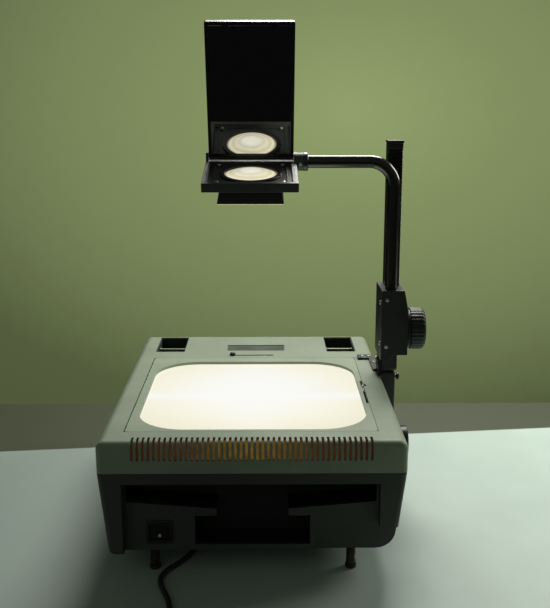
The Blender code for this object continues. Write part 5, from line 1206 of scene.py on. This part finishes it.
class MakeFeet(Maker):
    """Threaded front legs with soft tips, bosses and rear feet"""

    bl_idname = "projector.make_feet"
    bl_label = "Legs and feet"

    def make(self):
        """Makes each leg with thread grooves above a plain collar, with its tip and rear foot, and coats the
        bosses.
        """
        enamel_black = enamel("leg_enamel", colours().enamel, 0.35)
        rubber = soft_rubber("tip_rubber")
        brass = bare_metal("boss_brass", (0.66, 0.50, 0.24), 0.35)
        for side, x in LEG_PLACES:
            self.leg(side, x, enamel_black)
            self.tip(side, x, rubber)
            self.foot(side, x, rubber)
            coat(brass, "leg_boss_" + side)

    def leg(self, side, x, material):
        """A leg's rod, with rings of thread above its collar."""
        turns = sizes().thread_turns
        rings = [(LEG_CORE - 0.0001, LEG_LOW), (LEG_RADIUS, LEG_LOW + 0.0008)]
        rings += [(LEG_RADIUS, LEG_COLLAR - 0.0006), (LEG_CORE, LEG_COLLAR)]
        pitch = (LEG_TOP - LEG_COLLAR) / turns
        for number in range(turns):
            start = LEG_COLLAR + number * pitch
            rings += [(LEG_CORE, start + 0.1 * pitch), (LEG_CREST, start + 0.45 * pitch)]
            rings += [(LEG_CREST, start + 0.6 * pitch), (LEG_CORE, start + 0.95 * pitch)]
        rings += [(LEG_CORE - 0.0001, LEG_TOP), (0.0030, LEG_TOP), (0.0030, 0.040)]
        leg = lathe("leg_rod_" + side, rings, Matrix.Translation(middle_of_stage(x, LEG_Y, 0)), 28)
        finish(leg, material, "leg_" + side, "front_leg_" + side)

    def tip(self, side, x, material):
        """A leg's rubber tip with a waist groove."""
        tip = lathe("rubber_tip_" + side, TIP_RINGS, Matrix.Translation(middle_of_stage(x, LEG_Y, 0)), 28)
        finish(tip, material, "leg_" + side, "leg_tip_" + side)

    def foot(self, side, x, material):
        """A rear foot: a stepped rubber cone with a screw recess in its sole."""
        foot = lathe("rubber_foot_" + side, FOOT_RINGS, Matrix.Translation(middle_of_stage(x, FOOT_Y, 0)), 32)
        finish(foot, material, "body", "rear_foot_" + side)


# Post, carriage and arm


STRAP_SCREWS = ((0.162, 0.161), (0.1715, 0.161), (0.1758, 0.130))
STRAP_TOP = 0.1773
SMALL_SCREW = 0.0026


class MakePost(Maker):
    """Bracket, pivot pin, lock button, rack post and its cap"""

    bl_idname = "projector.make_post"
    bl_label = "Post and bracket"

    def make(self):
        """Dresses the post's nodes and adds the bracket's screws."""
        post = enamel("post_enamel", colours().enamel, 0.38, 0.2)
        bracket = enamel("bracket_enamel", colours().black, 0.42, 0.15)
        black = moulded_plastic("cap_plastic", colours().black, 0.42)
        steel = bare_metal("pivot_steel", (0.60, 0.60, 0.57), 0.28)
        dress("post_bracket", bracket, "body", BODY_EDGE)
        dress("rack_post", post, "post", 0.00025)
        dress("post_cap", black, "post", SMALL_EDGE)
        dress("pivot_pin", steel, "body", SMALL_EDGE)
        button = moulded_plastic("button_plastic", scaled(colours().black, 1.4), 0.35)
        dress("lock_button", button, "lock", SMALL_EDGE)
        heads = []
        for x, y in STRAP_SCREWS:
            place = Matrix.Translation(middle_of_stage(x, y, STRAP_TOP))
            heads.append(screw_head("screw", SMALL_SCREW, place))
        dull = bare_metal("strap_screw_steel", (0.30, 0.30, 0.28), 0.35)
        finish(merged("strap_screws", heads), dull, "body")


KNOB_PROFILE = [
    (0.90, 0), (0.96, 0.02), (0.97, 0.10), (0.92, 0.13), (0.92, 0.18), (1, 0.22), (1, 0.50), (1, 0.78),
    (0.955, 0.90), (0.84, 0.985), (0.70, 1), (0.66, 0.96), (0.36, 0.92), (0.34, 0.955), (0.30, 0.97),
    (0.05, 0.975),
]
TUBE_RADIUS = 0.0085
TUBE_BEND = 0.034
TUBE_STEPS = 24
SIDE_SCREW_HEIGHTS = (0.228, 0.286)
SIDE_SCREW = 0.0030
FRONT_SCREW_HEIGHTS = (0.226, 0.292)


class MakeCarriage(Maker):
    """Focus carriage, pinion, fluted knob, arm tube and collar"""

    bl_idname = "projector.make_carriage"
    bl_label = "Carriage and arm"

    def make(self):
        """Dresses the carriage and makes the knob, the tube and its collar."""
        moulded = moulded_plastic("carriage_plastic", scaled(colours().black, 1.25), 0.45)
        dress("focus_carriage", moulded, "carriage", ROUND_EDGE)
        coat(bare_metal("pinion_brass", (0.68, 0.52, 0.26), 0.3), "focus_pinion")
        self.knob()
        self.tube()
        self.screws()

    def knob(self):
        """A moulded knob: stepped rim, fluted grip and a dished face with a cap ring."""
        low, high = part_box("focus_knob")
        centre = Vector((low.x, (low.y + high.y) / 2, (low.z + high.z) / 2))
        radius = (high.z - low.z) / 2
        depth = high.x - low.x
        flutes = sizes().knob_flutes
        profile = [(wide * radius, deep * depth) for wide, deep in KNOB_PROFILE]
        knob = lathe("fluted_knob", profile, None, flutes * 8)
        depth_of_flute = sizes().knob_flute_depth
        for vert in knob.data.vertices:
            reach = math.hypot(vert.co.x, vert.co.y)
            grip = 0.20 * depth < vert.co.z < 0.88 * depth and reach > 0.95 * radius
            if grip:
                wave = math.cos(flutes * math.atan2(vert.co.y, vert.co.x))
                share = 1 - depth_of_flute * (0.5 + 0.5 * wave) ** 2 / reach
                vert.co.x *= share
                vert.co.y *= share
        knob.data.transform(along_x(centre))
        black = moulded_plastic("knob_plastic", scaled(colours().black, 0.6), 0.45, 2200.0, 0.00006)
        finish(knob, black, "focus", "focus_knob")

    def tube(self):
        """The bent tube as a fine curve, made a mesh."""
        low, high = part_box("arm_tube")
        x = high.x - TUBE_RADIUS
        z = high.z - TUBE_RADIUS
        y = (low.y + high.y) / 2
        points = [(x, y, low.z)]
        for step in range(TUBE_STEPS + 1):
            turn = math.pi / 2 * step / TUBE_STEPS
            across = x - TUBE_BEND + TUBE_BEND * math.cos(turn)
            points.append((across, y, z - TUBE_BEND + TUBE_BEND * math.sin(turn)))
        points.append((low.x, y, z))
        curve = bpy.data.curves.new("bent_tube", "CURVE")
        curve.dimensions = "3D"
        curve.bevel_depth = TUBE_RADIUS
        curve.bevel_resolution = 8
        curve.use_fill_caps = True
        spline = curve.splines.new("POLY")
        spline.points.add(len(points) - 1)
        for point, place in zip(spline.points, points):
            point.co = (*place, 1)
        tube = bpy.data.objects.new("bent_tube", curve)
        bpy.context.scene.collection.objects.link(tube)
        only(tube)
        bpy.ops.object.convert(target="MESH")
        tube = named("bent_tube")
        bpy.ops.object.mode_set(mode="EDIT")
        bpy.ops.mesh.select_all(action="SELECT")
        bpy.ops.mesh.remove_doubles(threshold=MERGE)
        bpy.ops.object.mode_set(mode="OBJECT")
        finish(tube, enamel("tube_enamel", scaled(colours().enamel, 1.2), 0.16, 0.6), "carriage", "arm_tube")
        dress("tube_collar", enamel("collar_enamel", colours().black, 0.3), "carriage", SMALL_EDGE)

    def screws(self):
        """The carriage's screws, two on its left face and two on its front."""
        low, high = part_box("focus_carriage")
        steel = bare_metal("carriage_screw_steel", (0.45, 0.45, 0.42), 0.3)
        heads = []
        leftward = Matrix.Rotation(-math.pi / 2, 4, "Y")
        for height in SIDE_SCREW_HEIGHTS:
            place = Vector((low.x, low.y + 0.012, height))
            heads.append(screw_head("screw", SIDE_SCREW, Matrix.Translation(place) @ leftward))
        for height in FRONT_SCREW_HEIGHTS:
            place = Vector((low.x + 0.0075, low.y, height))
            heads.append(screw_head("screw", SMALL_SCREW, along_front(place)))
        finish(merged("carriage_screws", heads), steel, "carriage")


# Head

HEAD_HALF = 0.060
HEAD_TOP = 0.001
HEAD_BOTTOM = -0.011
LENS_Y = -0.0483
LENS_RADIUS = 0.035
HOOD_HALF = 0.042
HOOD_HEIGHT = 0.019
RIM_WIDTH = 0.0016
RIM_HEIGHT = 0.0009
RIM_CUT = 0.005
TRAY_DEPTH = 0.005
TRAY_RIB_X = 0.0465
RIB_HALF = 0.0008
RIB_HEIGHT = 0.0018
RIB_SINK = 0.0002
TRAY_POST_X = 0.0415
TRAY_POSTS_Y = (-0.090, -0.012)
TRAY_POST_TOP = 0.0026
HEAD_SCREW = 0.0022


class MakeHead(Maker):
    """Lens head: tray, retaining ring, lenses and hood"""

    bl_idname = "projector.make_head"
    bl_label = "Lens head"

    def make(self):
        """Dresses the head's nodes and adds its ribs, posts and screws."""
        # Painted light: the head's black is made four times lighter, for the lamp light from the lens that
        # falls on it
        black = moulded_plastic("head_plastic_painted_light", scaled(colours().black, 4.0), 0.40)
        dress("head_housing", black, "head", FRAME_EDGE)
        dress("lens_ring", moulded_plastic("ring_plastic", colours().black, 0.3), "head", SMALL_EDGE)
        hood = moulded_plastic("hood_plastic", colours().black, 0.5)
        dress("lens_hood", hood, "head", SMALL_EDGE)
        self.hood_rim()
        self.lenses()
        self.fittings(black)
        coat(bare_metal("mirror_pin_steel", (0.6, 0.6, 0.57), 0.3), "mirror_pin")

    def hood_rim(self):
        """The hood's lower edge, lit by the stage."""
        outer = HOOD_HALF - 0.0002
        height = HEAD_BOTTOM - HOOD_HEIGHT
        low = (-outer, LENS_Y - outer, height - RIM_HEIGHT)
        rim = bar("hood_rim", low, (outer, LENS_Y + outer, height + 0.0001), 0.0003)
        inner = outer - RIM_WIDTH
        below = (-inner, LENS_Y - inner, height - RIM_CUT)
        hole = bar("rim_hole", below, (inner, LENS_Y + inner, height + RIM_CUT))
        cut_out(rim, hole)
        rim.data.transform(in_head())
        material, tree, shader, place = blank_material("lit_edge")
        patches = noise(tree, place, 140.0, 3.0)
        light = ramp(tree, patches, [(0.35, (0.90, 0.80, 0.42)), (0.65, (1.0, 0.93, 0.62))])
        tree.links.new(light, shader.inputs["Emission Color"])
        tree.links.new(light, shader.inputs["Base Color"])
        shader.inputs["Emission Strength"].default_value = 0.55
        shader.inputs["Roughness"].default_value = 0.4
        finish(rim, material, "head")

    def lenses(self):
        """The two lenses, lit from below."""
        centre = in_head() @ Vector((0, LENS_Y, -0.004))
        upper = self.lens("upper_lens_glass", LENS_RADIUS - 0.0002, 0.0073, 0.0037)
        upper.data.transform(in_head() @ Matrix.Translation((0, LENS_Y, HEAD_TOP - TRAY_DEPTH - 0.0040)))
        finish(upper, lit_lens("lit_upper_lens", centre, LENS_RADIUS), "head", "upper_lens")
        lower = self.lens("lower_lens_glass", LENS_RADIUS - 0.0002, 0.0045, 0.0035)
        turn = Matrix.Translation((0, LENS_Y, HEAD_BOTTOM - 0.0026)) @ Matrix.Rotation(math.pi, 4, "X")
        lower.data.transform(in_head() @ turn)
        below = in_head() @ Vector((0, LENS_Y, -0.018))
        finish(lower, lit_lens("lit_lower_lens", below, LENS_RADIUS, 0.95), "head", "lower_lens")

    def lens(self, name, radius, rise, edge):
        """A plano-convex lens standing on its flat side."""
        rings = [(0.05 * radius, 0), (radius, 0), (radius, edge)]
        steps = 10
        for step in range(1, steps + 1):
            across = radius * (1 - step / steps)
            height = edge + rise * (1 - (across / radius) ** 2)
            rings.append((max(across, 0.02 * radius), height))
        return lathe(name, rings, None, 64)

    def fittings(self, black):
        """Tray ribs beside the lens, four screw posts, a front rib, a rear lip and five screws."""
        ribs = []
        floor = HEAD_TOP - TRAY_DEPTH
        foot = floor - RIB_SINK
        crest = floor + RIB_HEIGHT
        post = [(0.0040, foot), (0.0038, floor + 0.0022), (0.0030, floor + TRAY_POST_TOP)]
        for side in (-1, 1):
            middle = side * TRAY_RIB_X
            rib_low = (middle - RIB_HALF, -0.092, foot)
            ribs.append(bar("rib", rib_low, (middle + RIB_HALF, -0.010, crest), 0.0004))
            for place in TRAY_POSTS_Y:
                ribs.append(lathe("post", post, Matrix.Translation((side * TRAY_POST_X, place, 0)), 20))
        ribs.append(bar("front_rib", (-0.046, -0.0945, foot), (0.046, -0.0930, crest), 0.0004))
        ribs.append(bar("rear_lip", (-0.0562, 0.0088, HEAD_TOP - 0.0003), (0.0562, 0.0099, 0.0044), 0.0003))
        rail = merged("tray_ribs", ribs)
        rail.data.transform(in_head())
        # The ribs share the head's black with its painted light
        finish(rail, black, "head")
        steel = bare_metal("head_screw_steel", (0.75, 0.75, 0.70), 0.25)
        heads = []
        for side in (-1, 1):
            for y in TRAY_POSTS_Y:
                place = Matrix.Translation((side * TRAY_POST_X, y, floor + TRAY_POST_TOP))
                heads.append(screw_head("screw", HEAD_SCREW, in_head() @ place))
        clamp = in_head() @ along_front((HEAD_HALF + 0.0048, -0.0119, 0))
        heads.append(screw_head("screw", HEAD_SCREW, clamp))
        finish(merged("head_screws", heads), steel, "head")


class MakeMirror(Maker):
    """Mirror lid with its rim, ribs and mirror"""

    bl_idname = "projector.make_mirror"
    bl_label = "Mirror lid"

    def make(self):
        """Dresses the lid and mirror and adds the ribs on the lid's back."""
        black = moulded_plastic("lid_plastic", colours().black, 0.36)
        dress("mirror_lid", black, "mirror_body", BROAD_EDGE)
        dress("mirror", silvered_mirror(), "mirror_body", FINE_EDGE)
        ribs = []
        for x in (-0.036, -0.012, 0.012, 0.036):
            ribs.append(bar("rib", (x - 0.0009, 0.0038, 0.020), (x + 0.0009, 0.0052, 0.162), 0.0005))
        for z in (0.020, 0.162):
            ribs.append(bar("rib", (-0.0369, 0.0038, z - 0.0009), (0.0369, 0.0052, z + 0.0009), 0.0005))
        clips = []
        for x in (-0.030, 0.030):
            clips.append(bar("clip", (x - 0.004, -0.0042, 0.1693), (x + 0.004, -0.0032, 0.1730), 0.0003))
        rail = merged("lid_ribs", ribs + clips)
        rail.data.transform(in_mirror_lid())
        finish(rail, black, "mirror_body")


class MakeWorks(Maker):
    """Lamps, tray, tunnel, light box, fan and wiring inside the casing"""

    bl_idname = "projector.make_works"
    bl_label = "Inside works"

    def make(self):
        """Gives the inside works their finishes."""
        sheet = bare_metal("galvanised_sheet", (0.56, 0.58, 0.58), 0.38, (90.0, 90.0, 90.0))
        brass = bare_metal("gear_brass", (0.68, 0.52, 0.26), 0.3)
        dark = enamel("heat_proof_paint", (0.03, 0.03, 0.028), 0.6, 0.0)
        glass = clear_glass("condenser_glass")
        heat = clear_glass("heat_filter_glass", (0.80, 0.93, 0.84))
        fan = moulded_plastic("fan_plastic", (0.014, 0.014, 0.015), 0.4)
        coat(dark, "light_box")
        coat(sheet, "lamp_tunnel", "lamp_track", "lamp_tray")
        coat(glass, "condenser_lens")
        coat(heat, "heat_glass")
        coat(brass, "changer_pinion")
        coat(fan, "fan_frame", "fan_impeller")
        coat(moulded_plastic("terminal_plastic", (0.60, 0.58, 0.50), 0.45), "terminal_block")
        dress("changer_knob", moulded_plastic("changer_plastic", colours().black, 0.42), "changer", BODY_EDGE)
        self.lamp_finish()

    def lamp_finish(self):
        """Faceted reflector with warm light in it."""
        material, tree, shader, place = blank_material("lamp_reflector")
        facets = tree.nodes.new("ShaderNodeTexVoronoi")
        facets.inputs["Scale"].default_value = 260.0
        tree.links.new(place, facets.inputs["Vector"])
        tones = [(0.0, (0.95, 0.93, 0.85)), (0.6, (0.75, 0.72, 0.60))]
        tree.links.new(ramp(tree, facets.outputs["Distance"], tones), shader.inputs["Base Color"])
        bump(tree, shader, facets.outputs["Distance"], 0.4, 0.0004)
        shader.inputs["Metallic"].default_value = 1.0
        shader.inputs["Roughness"].default_value = 0.12
        shader.inputs["Emission Color"].default_value = (1.0, 0.85, 0.5, 1)
        shader.inputs["Emission Strength"].default_value = 0.3
        coat(material, "lamp_main", "lamp_spare")


class ProjectorPanel(bpy.types.Panel):
    """Sizes, colours and makers of the overhead projector"""

    bl_idname = "VIEW3D_PT_projector"
    bl_label = "Overhead projector"
    bl_space_type = "VIEW_3D"
    bl_region_type = "UI"
    bl_category = "Projector"

    def draw(self, context):
        """Lists the settings and the makers."""
        layout = self.layout
        for group in (context.scene.projector_sizes, context.scene.projector_colours):
            for name in group.bl_rna.properties.keys():
                if name not in ("rna_type", "name"):
                    layout.prop(group, name)
        for maker in MAKERS:
            layout.operator(maker.bl_idname)


MAKERS = (
    MakeStudio, MakeCord, MakeCasing, MakeStageLid, MakeSwitch, MakeFeet, MakePost, MakeCarriage, MakeHead,
    MakeMirror, MakeWorks,
)
CLASSES = (ProjectorSizes, ProjectorColours) + MAKERS + (ProjectorPanel,)


def register():
    """Registers the classes and the scene's settings."""
    for item in CLASSES:
        bpy.utils.register_class(item)
    bpy.types.Scene.projector_sizes = PointerProperty(type=ProjectorSizes)
    bpy.types.Scene.projector_colours = PointerProperty(type=ProjectorColours)


def unregister():
    """Removes the classes and the scene's settings."""
    del bpy.types.Scene.projector_colours
    del bpy.types.Scene.projector_sizes
    for item in reversed(CLASSES):
        bpy.utils.unregister_class(item)


def main():
    """Registers the add-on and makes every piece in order."""
    register()
    for maker in MAKERS:
        group, name = maker.bl_idname.split(".")
        getattr(getattr(bpy.ops, group), name)()


if __name__ == "__main__":
    main()
